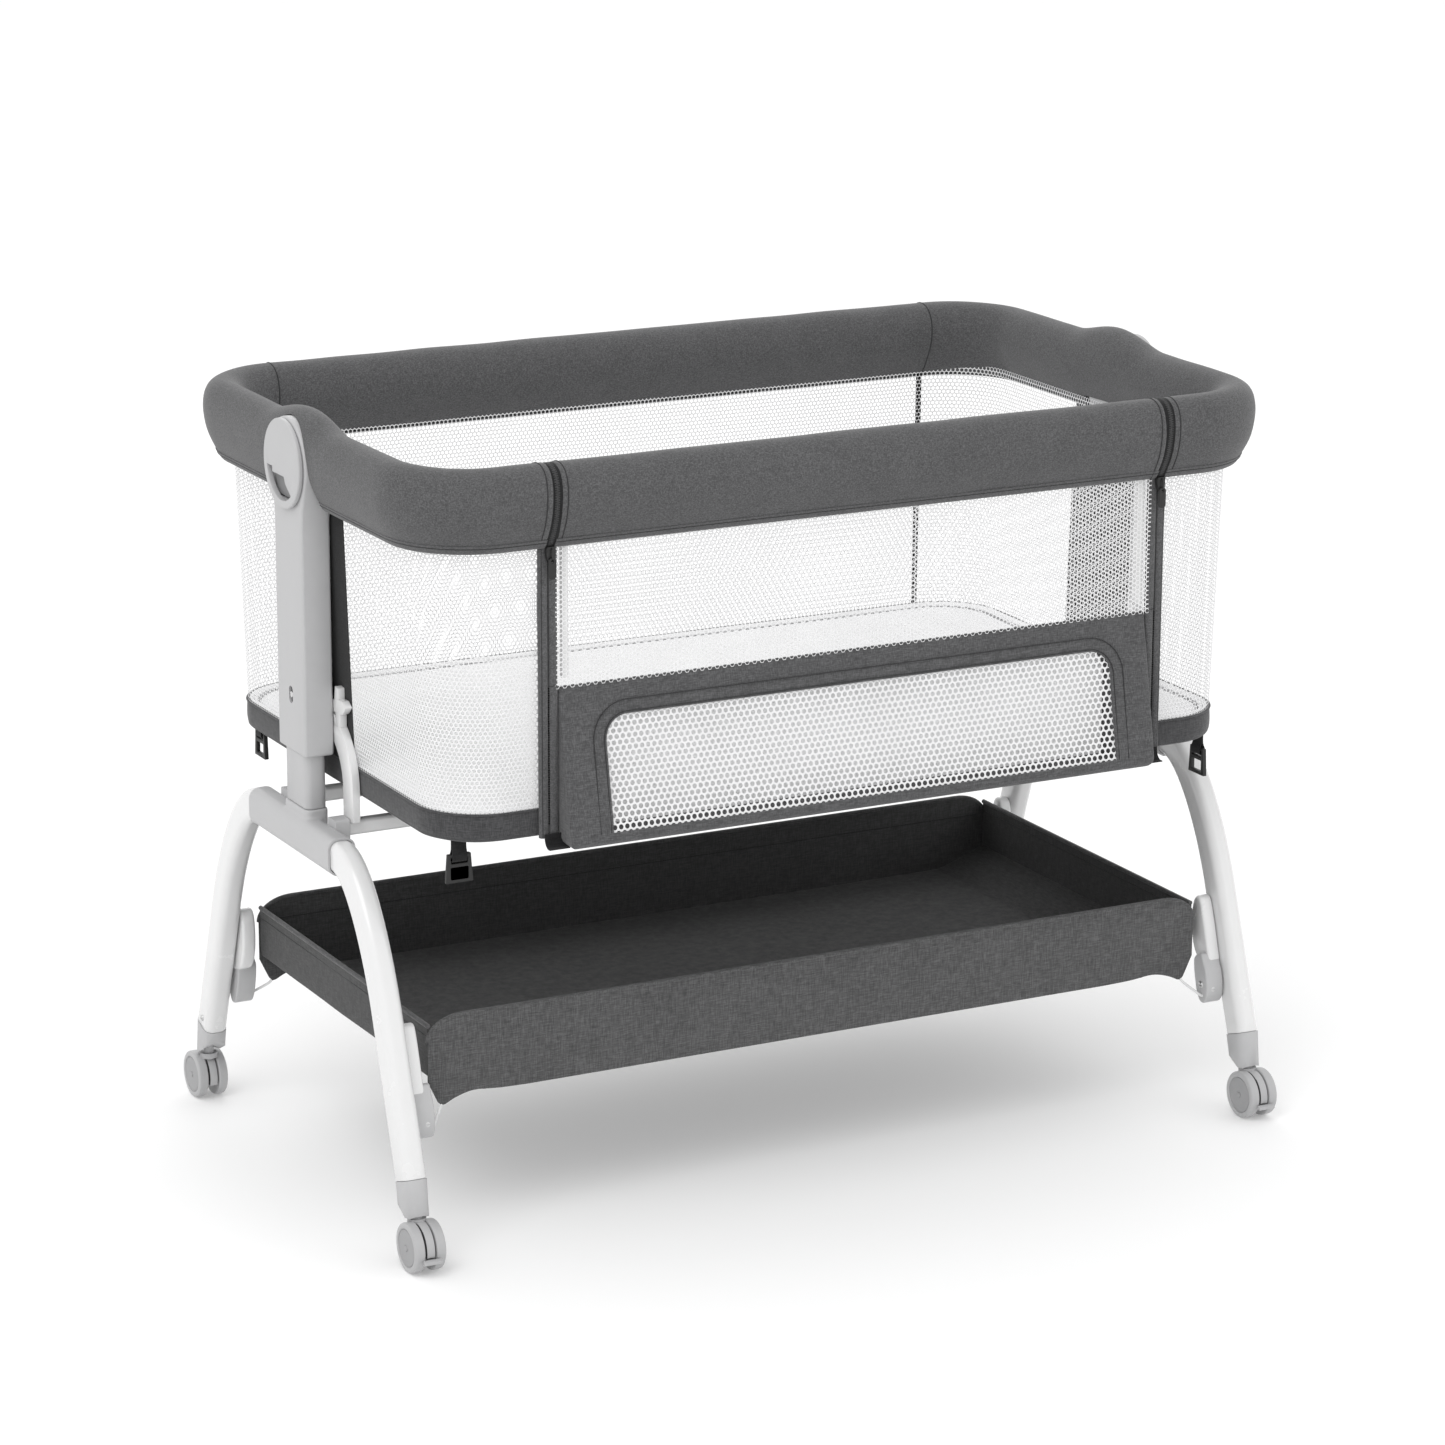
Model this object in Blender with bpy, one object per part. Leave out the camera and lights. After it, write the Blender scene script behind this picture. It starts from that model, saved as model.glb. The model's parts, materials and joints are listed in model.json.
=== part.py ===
"""Bedside bassinet on a wheeled stand, at its lowest height with the drop side up.

+X runs along the bed, +Y to the back, +Z up. The origin is on the floor under the middle of the bed.
The side at -Y is the drop side. Sizes are in metres.
"""

from math import cos, pi, sin, sqrt

import bpy
from mathutils import Vector

GAP = 0.0003

# Stand
LEG_X = 0.437
TEE_Z = 0.336
TEE_SIZE = (0.0270, 0.0350)
TEE_CORNER = 0.0105
TEE_HALF_LENGTH = 0.093
TEE_TOP = 0.362
SOCKET_DEPTH = 0.028
LEG_WIDTH = 0.022
LEG_DEPTH = 0.030
LEG_CORNER = 0.008
LEG_KNEE = (0.189, 0.216)
LEG_FOOT = (0.2430, 0.0583)
CAP_LENGTH = 0.021
POST_X = 0.4315
POST_SIZE = (0.0205, 0.050)
POST_TOP = 0.600
CROSSBAR_Y = 0.055
CROSSBAR_SIZE = (0.012, 0.014)
CROSSBAR_Z = 0.351
CROSSBAR_START = 0.4159
ARCH_X = 0.4121
ARCH_THICKNESS = 0.007
ARCH_RADIUS = 0.059
ARCH_WIDTH = 0.022
ARCH_SPRING_Z = 0.386

# Casters
SWIVEL_Y = 0.247
TRAIL = 0.009
WHEEL_RADIUS = 0.02275
WHEEL_WIDTH = 0.0095
WHEEL_SEGMENTS = 24
FORK_HALF_WIDTH = 0.0045
WHEEL_GAP = 0.0008
AXLE_RADIUS = 0.0025
STEM_RADIUS = 0.005
CAP_BOTTOM = 0.0475

# Basket
BASKET_X = 0.402
BASKET_Y = 0.198
BASKET_TOP = 0.210
BASKET_FLOOR = 0.134
BASKET_END_FLOOR = 0.154
BASKET_RAMP = 0.055
APRON_CORNER_Z = 0.127
BASKET_WALL = 0.003
BRACKET_X = (0.4080, 0.4255)

# Telescopic sleeve and hub
SLEEVE_X = (0.416, 0.4445)
SLEEVE_HALF_WIDTH = 0.031
SLEEVE_BOTTOM = 0.412
SHOULDER_Z = 0.633
CAVITY_TOP = 0.606
HUB_Z = 0.678
HUB_RADIUS = 0.042
HUB_CAP_THICKNESS = 0.0052
PIN_Z = 0.465
PIN_RADIUS = 0.003

# Bassinet frame and fabric
TUBE_Z = 0.693
TUBE_RADIUS = 0.008
TUBE_HALF = (0.430, 0.255)
TUBE_CORNER = 0.075
RIM_OUTER = (0.4425, 0.277, 0.090)
RIM_INNER = (0.4035, 0.234, 0.050)
RIM_TOP = 0.715
RIM_HEM = 0.643
RIM_HUMP = 0.012
HUMP_WIDTH = 0.075
WALL_TOP = (0.414, 0.2525, 0.064)
WALL_BOTTOM = (0.406, 0.249, 0.060)
WALL_THICKNESS = 0.002
BASE_BOTTOM = 0.380
BASE_TOP = 0.404
BASE_PLATE = 0.005
MATTRESS_TOP = 0.409
ZIP_X = 0.3095
DROP_HALF = 0.299
HINGE_Z = 0.517
HINGE_Y = -0.259
HOOP_Y = -0.253
HOOP_RADIUS = 0.004
PANEL_TOP = 0.5155
PANEL_OUT = 0.281
PANEL_ROLL_RADIUS = 0.009
PANEL_ROLL_Z = 0.381
BUCKLE_X = 0.383
BUCKLE_Y = 0.226
STRAP_DROP = 0.012

SIDES = (("left", -1), ("right", 1))
CORNERS = (("left_front", -1, -1), ("left_back", -1, 1), ("right_front", 1, -1), ("right_back", 1, 1))


def clear_scene():
    for old in list(bpy.data.objects):
        bpy.data.objects.remove(old, do_unlink=True)


def material(name, colour, roughness, metallic=0.0):
    made = bpy.data.materials.new(name)
    made.use_nodes = True
    shader = made.node_tree.nodes["Principled BSDF"]
    shader.inputs["Base Color"].default_value = (*colour, 1.0)
    shader.inputs["Roughness"].default_value = roughness
    shader.inputs["Metallic"].default_value = metallic
    return made


def mesh_object(name, points, faces, look, smooth_angle=0.6):
    """One object from points and faces, with its faces turned outward."""
    mesh = bpy.data.meshes.new(name)
    mesh.from_pydata([tuple(point) for point in points], [], faces)
    mesh.update()
    if signed_volume(mesh) < 0:
        mesh.flip_normals()
    mesh.shade_smooth()
    mesh.set_sharp_from_angle(angle=smooth_angle)
    made = bpy.data.objects.new(name, mesh)
    bpy.context.scene.collection.objects.link(made)
    if look:
        mesh.materials.append(look)
    return made


def signed_volume(mesh):
    total = 0.0
    for face in mesh.polygons:
        corners = [mesh.vertices[index].co for index in face.vertices]
        for second, third in zip(corners[1:], corners[2:]):
            total += corners[0].dot(second.cross(third))
    return total


def set_origin(made, point):
    """Moves the object's origin, as for a joint's axis, and leaves its shape in place."""
    shift = Vector(point) - made.location
    for vertex in made.data.vertices:
        vertex.co -= shift
    made.location = Vector(point)


def use_boolean(target, other, operation, solver="EXACT"):
    modifier = target.modifiers.new(other.name, "BOOLEAN")
    modifier.operation = operation
    modifier.solver = solver
    modifier.object = other
    other.hide_render = True
    other.display_type = "WIRE"


def cut(target, *others):
    for other in others:
        use_boolean(target, other, "DIFFERENCE")


def join(target, *others):
    for other in others:
        use_boolean(target, other, "UNION")


def loft(name, loops, look, closed_path=False, smooth_angle=0.6):
    """Skins closed loops of equal length, with flat caps unless the path closes on itself."""
    count = len(loops[0])
    points = [point for loop in loops for point in loop]
    faces = []
    for row in range(len(loops) if closed_path else len(loops) - 1):
        below = row * count
        above = (row + 1) % len(loops) * count
        for step in range(count):
            after = (step + 1) % count
            faces.append((below + step, below + after, above + after, above + step))
    if not closed_path:
        faces.append(tuple(range(count))[::-1])
        faces.append(tuple(range(len(points) - count, len(points))))
    return mesh_object(name, points, faces, look, smooth_angle)


def sleeve_loft(name, outer_loops, inner_loops, look):
    """A tube with thick walls that is open at both ends."""
    count_out = len(outer_loops[0])
    count_in = len(inner_loops[0])
    rows = len(outer_loops)
    points = [point for loop in outer_loops for point in loop]
    start_in = len(points)
    points += [point for loop in inner_loops for point in loop]
    faces = []
    for row in range(rows - 1):
        for count, first, flipped in ((count_out, 0, False), (count_in, start_in, True)):
            below = first + row * count
            above = below + count
            for step in range(count):
                after = (step + 1) % count
                quad = (below + step, below + after, above + after, above + step)
                faces.append(quad[::-1] if flipped else quad)
    for row, turned in ((0, True), (rows - 1, False)):
        outer = [row * count_out + step for step in range(count_out)]
        inner = [start_in + row * count_in + step for step in range(count_in)]
        for step in range(count_out):
            after = (step + 1) % count_out
            quad = (outer[step], outer[after], inner[after], inner[step])
            faces.append(quad[::-1] if turned else quad)
    return mesh_object(name, points, faces, look)


def prism(name, outline, axis, low, high, look=None, smooth_angle=0.6):
    """Extrudes an outline along axis 0, 1 or 2. The outline's numbers are the other two coordinates in order."""
    loops = []
    for height in (low, high):
        loop = []
        for first, second in outline:
            point = [first, second]
            point.insert(axis, height)
            loop.append(tuple(point))
        loops.append(loop)
    return loft(name, loops, look, smooth_angle=smooth_angle)


def box(name, low, high, look=None):
    outline = ((low[0], low[1]), (high[0], low[1]), (high[0], high[1]), (low[0], high[1]))
    return prism(name, outline, 2, low[2], high[2], look)


def arc(centre, radius, start, end, steps):
    """Points on a circle from one angle to the other, both included."""
    angles = [start + (end - start) * step / steps for step in range(steps + 1)]
    return [(centre[0] + radius * cos(angle), centre[1] + radius * sin(angle)) for angle in angles]


def round_outline(centre, size, corner, steps=3):
    """A rectangle with round corners."""
    half = (size[0] / 2 - corner, size[1] / 2 - corner)
    points = []
    for quarter, (sign_x, sign_y) in enumerate(((1, 1), (-1, 1), (-1, -1), (1, -1))):
        middle = (centre[0] + sign_x * half[0], centre[1] + sign_y * half[1])
        points += arc(middle, corner, quarter * pi / 2, (quarter + 1) * pi / 2, steps)
    return points


def cylinder(name, centre, radius, axis, low, high, segments=16, look=None):
    outline = arc(centre, radius, pi / segments, 2 * pi - pi / segments, segments - 1)
    return prism(name, outline, axis, low, high, look)


# Outlines of the bed: rounded rectangles that are open at the drop side


def bed_outline(half_x, half_y, corner, start_x=ZIP_X, corner_steps=4, end_steps=4, back_steps=1):
    """Points in plan from the left zip round the back to the right zip."""
    flat_x, flat_y = half_x - corner, half_y - corner
    points = [(-start_x, -half_y)]
    points += arc((-flat_x, -flat_y), corner, -pi / 2, -pi, corner_steps)
    for step in range(1, end_steps):
        points.append((-half_x, -flat_y + 2 * flat_y * step / end_steps))
    points += arc((-flat_x, flat_y), corner, pi, pi / 2, corner_steps)
    mirrored = [(-x, y) for x, y in reversed(points)]
    for step in range(1, back_steps):
        points.append((-flat_x + 2 * flat_x * step / back_steps, half_y))
    return points + mirrored


def hump(x, y):
    """The rim rises over each hub, at the middle of the two ends."""
    if abs(x) < RIM_INNER[0] - RIM_INNER[2]:
        return 0.0
    return RIM_HUMP * max(0.0, 1 - (y / HUMP_WIDTH) ** 2) ** 2


# Stand


def bezier(points, steps):
    out = []
    for step in range(steps + 1):
        t = step / steps
        weights = ((1 - t) ** 3, 3 * t * (1 - t) ** 2, 3 * t * t * (1 - t), t**3)
        out.append(tuple(sum(w * p[axis] for w, p in zip(weights, points)) for axis in (0, 1)))
    return out


def leg_path():
    """The leg's centre line as (distance from the middle, height), from inside the tee to the foot."""
    knee, foot = LEG_KNEE, LEG_FOOT
    length = sqrt((foot[0] - knee[0]) ** 2 + (foot[1] - knee[1]) ** 2)
    down = ((foot[0] - knee[0]) / length, (foot[1] - knee[1]) / length)
    pull = 0.060
    control = (TEE_HALF_LENGTH + 0.0005, TEE_Z)
    bend = bezier((control, (0.130, TEE_Z), (knee[0] - down[0] * pull, knee[1] - down[1] * pull), knee), 7)
    start = (TEE_HALF_LENGTH - SOCKET_DEPTH, TEE_Z)
    return [start, *bend, (foot[0] - down[0] * CAP_LENGTH, foot[1] - down[1] * CAP_LENGTH)], down


def swept_leg(name, path, width, depth, corner, sign_x, sign_y, look):
    section = round_outline((0, 0), (width, depth), corner, 2)
    loops = []
    for index, (out, height) in enumerate(path):
        before = path[max(index - 1, 0)]
        after = path[min(index + 1, len(path) - 1)]
        run = Vector((after[0] - before[0], after[1] - before[1])).normalized()
        side = (-run[1], run[0])
        loops.append([
            (sign_x * (LEG_X + across), sign_y * (out + along * side[0]), height + along * side[1])
            for across, along in section
        ])
    return loft(name, loops, look)


def make_leg(place, sign_x, sign_y, look):
    path, _ = leg_path()
    return swept_leg("leg_" + place, path, LEG_WIDTH, LEG_DEPTH, LEG_CORNER, sign_x, sign_y, look)


def make_leg_cap(place, sign_x, sign_y, look):
    """The plastic foot that closes the leg and holds the caster's stem."""
    path, down = leg_path()
    start = (path[-1][0] + down[0] * GAP, path[-1][1] + down[1] * GAP)
    foot = (start[0] + down[0] * 0.012, start[1] + down[1] * 0.012)
    cap = swept_leg("leg_cap_" + place, [start, foot], LEG_WIDTH + 0.0015, LEG_DEPTH + 0.0015,
                    LEG_CORNER, sign_x, sign_y, look)
    low = len(cap.data.vertices) // 2
    for vertex in cap.data.vertices[low:]:
        inward = sign_y * vertex.co.y - SWIVEL_Y
        chamfer = max(0.0, abs(inward) - 0.006) * 0.9
        vertex.co.z = CAP_BOTTOM + chamfer
    bore = cylinder("stem_bore_" + place, (sign_x * LEG_X, sign_y * SWIVEL_Y), STEM_RADIUS + 0.0006, 2,
                    0.040, 0.0575, 16)
    cut(cap, bore)
    return cap


def make_tee(side, sign, look):
    """The plastic joint that takes both legs of one end, the post and the two crossbars."""
    tee = prism("t_joint_" + side, round_outline((sign * LEG_X, TEE_Z), TEE_SIZE, TEE_CORNER, 5), 1,
                -TEE_HALF_LENGTH, TEE_HALF_LENGTH, look)
    boss = prism("t_boss_" + side, round_outline((sign * POST_X, 0), (POST_SIZE[0] + 0.003, POST_SIZE[1] + 0.003),
                                                 0.006), 2, TEE_Z, TEE_TOP - GAP)
    join(tee, boss)
    for sign_y in (-1, 1):
        end = sign_y * TEE_HALF_LENGTH
        inner = sign_y * (TEE_HALF_LENGTH - SOCKET_DEPTH - 0.001)
        outer = end + sign_y * 0.004
        socket = prism("leg_socket_%s_%d" % (side, sign_y),
                       round_outline((sign * LEG_X, TEE_Z), (LEG_WIDTH + 0.0008, LEG_DEPTH + 0.0008), LEG_CORNER, 2),
                       1, min(inner, outer), max(inner, outer))
        cut(tee, socket)
        half_y, half_z = CROSSBAR_SIZE[0] / 2 + 0.003, CROSSBAR_SIZE[1] / 2 + 0.0025
        ends = sorted((sign * 0.430, sign * (CROSSBAR_START + GAP)))
        lug = box("crossbar_lug_%s_%d" % (side, sign_y),
                  (ends[0], sign_y * CROSSBAR_Y - half_y, CROSSBAR_Z - half_z),
                  (ends[1], sign_y * CROSSBAR_Y + half_y, CROSSBAR_Z + half_z))
        join(tee, lug)
    return tee


def make_post(side, sign, look):
    """The inner post. Its outer face has the groove that the height pin runs in."""
    post = prism("inner_post_" + side, round_outline((sign * POST_X, 0), POST_SIZE, 0.006), 2,
                 TEE_TOP, POST_TOP, look)
    face = sign * (POST_X + POST_SIZE[0] / 2)
    ends = sorted((face + sign * 0.002, face - sign * 0.0036))
    groove = box("pin_groove_" + side, (ends[0], -0.005, PIN_Z - 0.008), (ends[1], 0.005, POST_TOP + 0.01))
    cut(post, groove)
    return post


def make_crossbar(name, sign_y, look):
    centre = (sign_y * CROSSBAR_Y, CROSSBAR_Z)
    return prism(name, round_outline(centre, CROSSBAR_SIZE, 0.002, 1), 0, -CROSSBAR_START, CROSSBAR_START, look)


def make_arch(side, sign, look):
    """The arch between the sleeve and the bed. It stands on the crossbars and ties them together."""
    inner, outer = ARCH_RADIUS - ARCH_WIDTH / 2, ARCH_RADIUS + ARCH_WIDTH / 2
    foot = CROSSBAR_Z + CROSSBAR_SIZE[1] / 2 + GAP
    outline = [(outer, foot), *arc((0, ARCH_SPRING_Z), outer, 0, pi, 14), (-outer, foot)]
    outline += [(-inner, foot), *arc((0, ARCH_SPRING_Z), inner, pi, 0, 12), (inner, foot)]
    ends = sorted((sign * (ARCH_X - ARCH_THICKNESS / 2), sign * (ARCH_X + ARCH_THICKNESS / 2)))
    arch = prism("end_arch_" + side, outline, 0, ends[0], ends[1], look)
    for sign_y in (-1, 1):
        hook = [(0.036, 0.442), (0.036, 0.454), (0.028, 0.452), (0.038, 0.475), (0.043, 0.475),
                (0.056, 0.456), (0.047, 0.457), (0.047, 0.432)]
        cleat = prism("strap_cleat_%s_%d" % (side, sign_y), [(sign_y * y, z) for y, z in hook], 0,
                      ends[0] + 0.001, ends[1] - 0.001)
        join(arch, cleat)
    return arch


# Casters


def make_fork(place, sign_x, sign_y, look):
    """The plate between the wheels, with the axle through it and the swivel stem on top."""
    axle_y = sign_y * (SWIVEL_Y + TRAIL)
    centre = (axle_y, WHEEL_RADIUS)
    plate_radius = WHEEL_RADIUS - 0.001
    front, back = (-0.20, pi + 0.35)
    sector = arc((0, 0), plate_radius, front, back, 14)
    outline = [(axle_y + sign_y * y, WHEEL_RADIUS + z) for y, z in [*sector, (0.0, -0.007)]]
    middle = sign_x * LEG_X
    fork = prism("caster_fork_" + place, outline, 0, middle - FORK_HALF_WIDTH, middle + FORK_HALF_WIDTH, look)
    reach = FORK_HALF_WIDTH + WHEEL_GAP + WHEEL_WIDTH - 0.001
    axle = cylinder("axle_" + place, centre, AXLE_RADIUS, 0, middle - reach, middle + reach, 12)
    stem = cylinder("stem_" + place, (middle, sign_y * SWIVEL_Y), STEM_RADIUS, 2, 0.036, 0.056, 14)
    join(fork, axle, stem)
    set_origin(fork, (middle, sign_y * SWIVEL_Y, 0))
    return fork


def make_wheel(name, sign_x, sign_y, inner_face, outward, look):
    """A turned wheel with a bore for the axle. Its flats lie on the floor."""
    radius = WHEEL_RADIUS / cos(pi / WHEEL_SEGMENTS)
    bore = (AXLE_RADIUS + 0.0004) / cos(pi / WHEEL_SEGMENTS)
    profile = [(0, bore), (0, radius - 0.001), (0.001, radius), (WHEEL_WIDTH - 0.001, radius),
               (WHEEL_WIDTH, radius - 0.001), (WHEEL_WIDTH, bore)]
    axle_y = sign_y * (SWIVEL_Y + TRAIL)
    loops = []
    for step in range(WHEEL_SEGMENTS):
        angle = 2 * pi * (step + 0.5) / WHEEL_SEGMENTS - pi / 2
        loops.append([
            (inner_face + outward * across, axle_y + reach * cos(angle), WHEEL_RADIUS + reach * sin(angle))
            for across, reach in profile
        ])
    wheel = loft(name, loops, look, closed_path=True, smooth_angle=0.5)
    set_origin(wheel, (inner_face, axle_y, WHEEL_RADIUS))
    return wheel


def make_brake(place, sign_x, sign_y, look):
    """The brake pedal at the front of the plate. It turns about its top edge."""
    middle = sign_x * LEG_X
    axle_y = SWIVEL_Y + TRAIL
    out, high = axle_y + 0.0200, WHEEL_RADIUS - 0.0065
    neck = [(out - 0.0045, high + 0.0008), (out + 0.0050, high + 0.0008), (out + 0.0050, high - 0.0022),
            (out - 0.0045, high - 0.0022)]
    pad = [(out + 0.0035, high + 0.0018), (out + 0.0075, high + 0.0006), (out + 0.0075, high - 0.0020),
           (out + 0.0035, high - 0.0026)]
    brake = prism("brake_pedal_" + place, [(sign_y * y, z) for y, z in pad], 0, middle - 0.0085,
                  middle + 0.0085, look)
    arm = prism("brake_neck_" + place, [(sign_y * y, z) for y, z in neck], 0, middle - 0.0040, middle + 0.0040)
    join(brake, arm)
    set_origin(brake, (middle, sign_y * (out - 0.004), high - 0.001))
    return brake


# Basket


def basket_outline(inset, top):
    """The basket seen from the front: a flat floor that ramps up to the short end panels."""
    end, floor, ramp = BASKET_X - inset, BASKET_FLOOR + inset, BASKET_END_FLOOR + inset
    half = [(end, top), (end, ramp), (end - BASKET_RAMP, floor)]
    return half + [(-x, z) for x, z in reversed(half)]


def make_basket(look):
    basket = prism("basket", basket_outline(0, BASKET_TOP), 1, -BASKET_Y, BASKET_Y, look)
    inner_y = BASKET_Y - BASKET_WALL
    cut(basket, prism("basket_hollow", basket_outline(BASKET_WALL, BASKET_TOP + 0.01), 1, -inner_y, inner_y))
    for sign in (-1, 1):
        ends = sorted((sign * BASKET_Y, sign * inner_y))
        half = [(BASKET_X, 0.190), (BASKET_X - 0.012, APRON_CORNER_Z), (BASKET_X - 0.090, BASKET_FLOOR + 0.001)]
        outline = half + [(-x, z) for x, z in reversed(half)]
        join(basket, prism("basket_apron_%d" % sign, outline, 1, *ends))
    return basket


def make_bracket(place, sign_x, sign_y, look):
    """The plastic fin on the leg that carries one corner of the basket."""
    outline = [(0.186, 0.204), (0.193, 0.203), (0.2000, 0.190), (0.2085, 0.168), (0.215, 0.150),
               (0.221, 0.128), (0.221, 0.110), (0.215, 0.104), (0.207, 0.106), (0.199, 0.118),
               (0.1965, 0.133), (0.1855, 0.1365), (0.1810, 0.160), (0.1805, 0.190)]
    ends = sorted(sign_x * value for value in BRACKET_X)
    return prism("basket_bracket_" + place, [(sign_y * y, z) for y, z in outline], 0, ends[0], ends[1], look)


# Sleeves and hubs


def hub_outline():
    """The sleeve seen from the end: straight sides, shoulders and the round hub, as (y, z)."""
    flare = sqrt(HUB_RADIUS**2 - 0.038**2)
    points = [(SLEEVE_HALF_WIDTH, SLEEVE_BOTTOM), (SLEEVE_HALF_WIDTH, SHOULDER_Z), (0.038, HUB_Z - flare)]
    points += arc((0, HUB_Z), HUB_RADIUS, -0.30, pi + 0.30, 18)
    points += [(-0.038, HUB_Z - flare), (-SLEEVE_HALF_WIDTH, SHOULDER_Z), (-SLEEVE_HALF_WIDTH, SLEEVE_BOTTOM)]
    return points


def make_sleeve(side, sign, look):
    ends = sorted(sign * value for value in SLEEVE_X)
    sleeve = prism("post_sleeve_" + side, hub_outline(), 0, ends[0], ends[1], look, 0.4)
    cavity_size = (POST_SIZE[0] + 0.0008, POST_SIZE[1] + 0.0008)
    cavity = prism("post_cavity_" + side, round_outline((sign * POST_X, 0), cavity_size, 0.006), 2,
                   SLEEVE_BOTTOM - 0.01, CAVITY_TOP)
    tube_way = cylinder("tube_way_" + side, (sign * TUBE_HALF[0], TUBE_Z), TUBE_RADIUS + 0.0007, 1,
                        -0.06, 0.06, 14)
    face = sign * SLEEVE_X[1]
    deep = sorted((face + sign * 0.001, face - sign * 0.0075))
    pocket = box("trigger_pocket_" + side, (deep[0], -0.024, HUB_Z - 0.033), (deep[1], 0.030, HUB_Z))
    slot = prism("pin_window_" + side, round_outline((0, PIN_Z), (0.009, 0.014), 0.0044, 2), 0,
                 min(face + sign * 0.001, face - sign * 0.004), max(face + sign * 0.001, face - sign * 0.004))
    cut(sleeve, cavity, tube_way, pocket, slot)
    return sleeve


def finger_opening():
    """The stepped opening in the lower half of the hub's cover, as (y, z) from the hub's centre."""
    steps = [(0.0325, -0.006), (0.0205, -0.006), (0.0205, -0.011), (-0.006, -0.011), (-0.009, -0.017)]
    return [*steps, *arc((0, 0), 0.0335, -2.26, -0.19, 8)]


def make_hub_cap(side, sign, look):
    ends = sorted((sign * (SLEEVE_X[1] + GAP), sign * (SLEEVE_X[1] + HUB_CAP_THICKNESS)))
    cap = prism("hub_cap_" + side, arc((0, HUB_Z), HUB_RADIUS - 0.001, 0.13, 2 * pi - 0.13, 23), 0,
                ends[0], ends[1], look)
    outline = [(y, HUB_Z + z) for y, z in finger_opening()]
    opening = prism("finger_opening_" + side, outline, 0, ends[0] - 0.002, ends[1] + 0.002)
    cut(cap, opening)
    return cap


def make_trigger(side, sign, look):
    """The lever behind the finger opening. Pulled up, it draws the height pin out."""
    face = sign * (SLEEVE_X[1] - 0.0012)
    deep = sorted((face, face - sign * 0.0055))
    trigger = box("release_trigger_" + side, (deep[0], -0.0225, HUB_Z - 0.0315), (deep[1], 0.0285, HUB_Z - 0.0075),
                  look)
    set_origin(trigger, (face, 0, HUB_Z - 0.020))
    return trigger


def make_pin(side, sign, look):
    outer = sign * (SLEEVE_X[1] - 0.0003)
    inner = sign * (POST_X + POST_SIZE[0] / 2 - 0.0028)
    ends = sorted((outer, inner))
    pin = cylinder("height_pin_" + side, (0, PIN_Z), PIN_RADIUS, 0, ends[0], ends[1], 12, look)
    set_origin(pin, (outer, 0, PIN_Z))
    return pin


# Bassinet frame and fabric


def tube_loops(path, radius, segments=8):
    """Round loops along a path in space, each square to the way the path runs there."""
    loops = []
    for index, point in enumerate(path):
        run = (Vector(path[min(index + 1, len(path) - 1)]) - Vector(path[max(index - 1, 0)])).normalized()
        side = run.cross(Vector((0, 0, 1)))
        side = side.normalized() if side.length > 0.1 else Vector((0, 1, 0))
        up = side.cross(run).normalized()
        loops.append([
            Vector(point) + radius * (cos(2 * pi * k / segments) * side + sin(2 * pi * k / segments) * up)
            for k in range(segments)
        ])
    return loops


def make_upper_tube(look):
    """The steel tube of the fixed rim: both ends and the back, through the hubs."""
    plan = bed_outline(*TUBE_HALF, TUBE_CORNER, start_x=ZIP_X + 0.001, end_steps=2)
    return loft("upper_frame_tube", tube_loops([(x, y, TUBE_Z) for x, y in plan], TUBE_RADIUS), look)


def rim_section():
    """The padded rim in section, as (share of the way from the inner to the outer outline, height)."""
    return [(0.50, RIM_HEM), (0.62, RIM_HEM), (0.90, 0.664), (1.00, 0.683), (0.99, 0.698), (0.88, 0.709),
            (0.68, 0.7145), (0.45, RIM_TOP), (0.22, 0.711), (0.06, 0.702), (0.00, 0.689), (0.06, 0.674),
            (0.30, 0.654)]


def between(inner, outer, share):
    return tuple(low + (high - low) * share for low, high in zip(inner, outer))


def make_rim_cover(look):
    outer_columns = []
    for share, height in rim_section():
        plan = bed_outline(*between(RIM_INNER, RIM_OUTER, share), end_steps=8)
        lift = max(0.0, (height - RIM_HEM) / (RIM_TOP - RIM_HEM))
        outer_columns.append([(x, y, height + lift * hump(x, y)) for x, y in plan])
    count = len(rim_section())
    inner_columns = []
    for step in range(count):
        angle = 2 * pi * (step + 0.5) / count - pi / 2 - 0.4
        reach = TUBE_RADIUS + 0.0009
        across = reach * cos(angle)
        plan = bed_outline(TUBE_HALF[0] + across, TUBE_HALF[1] + across, TUBE_CORNER + across, end_steps=8)
        inner_columns.append([(x, y, TUBE_Z + reach * sin(angle)) for x, y in plan])
    outer_loops = [list(loop) for loop in zip(*outer_columns)]
    inner_loops = [list(loop) for loop in zip(*inner_columns)]
    rim = sleeve_loft("rim_cover", outer_loops, inner_loops, look)
    for side, sign in SIDES:
        ends = sorted((sign * (SLEEVE_X[0] - 0.0006), sign * 0.470))
        reach = HUB_RADIUS + 0.0011
        outline = [(reach, 0.600), *arc((0, HUB_Z), reach, 0, pi, 16), (-reach, 0.600)]
        recess = prism("hub_recess_" + side, outline, 0, ends[0], ends[1])
        use_boolean(rim, recess, "DIFFERENCE", "MANIFOLD")
    return rim


def wall_loops(plan_top, plan_bottom, low, high):
    loops = []
    inward = WALL_THICKNESS
    corners = ((plan_bottom, 0, low), (plan_top, 0, high), (plan_top, inward, high), (plan_bottom, inward, low))
    columns = []
    for (half_x, half_y, corner), shrink, height in corners:
        plan = bed_outline(half_x - shrink, half_y - shrink, corner - shrink, corner_steps=4, end_steps=1)
        columns.append([(x, y, height) for x, y in plan])
    for loop in zip(*columns):
        loops.append(list(loop))
    return loops


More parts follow.
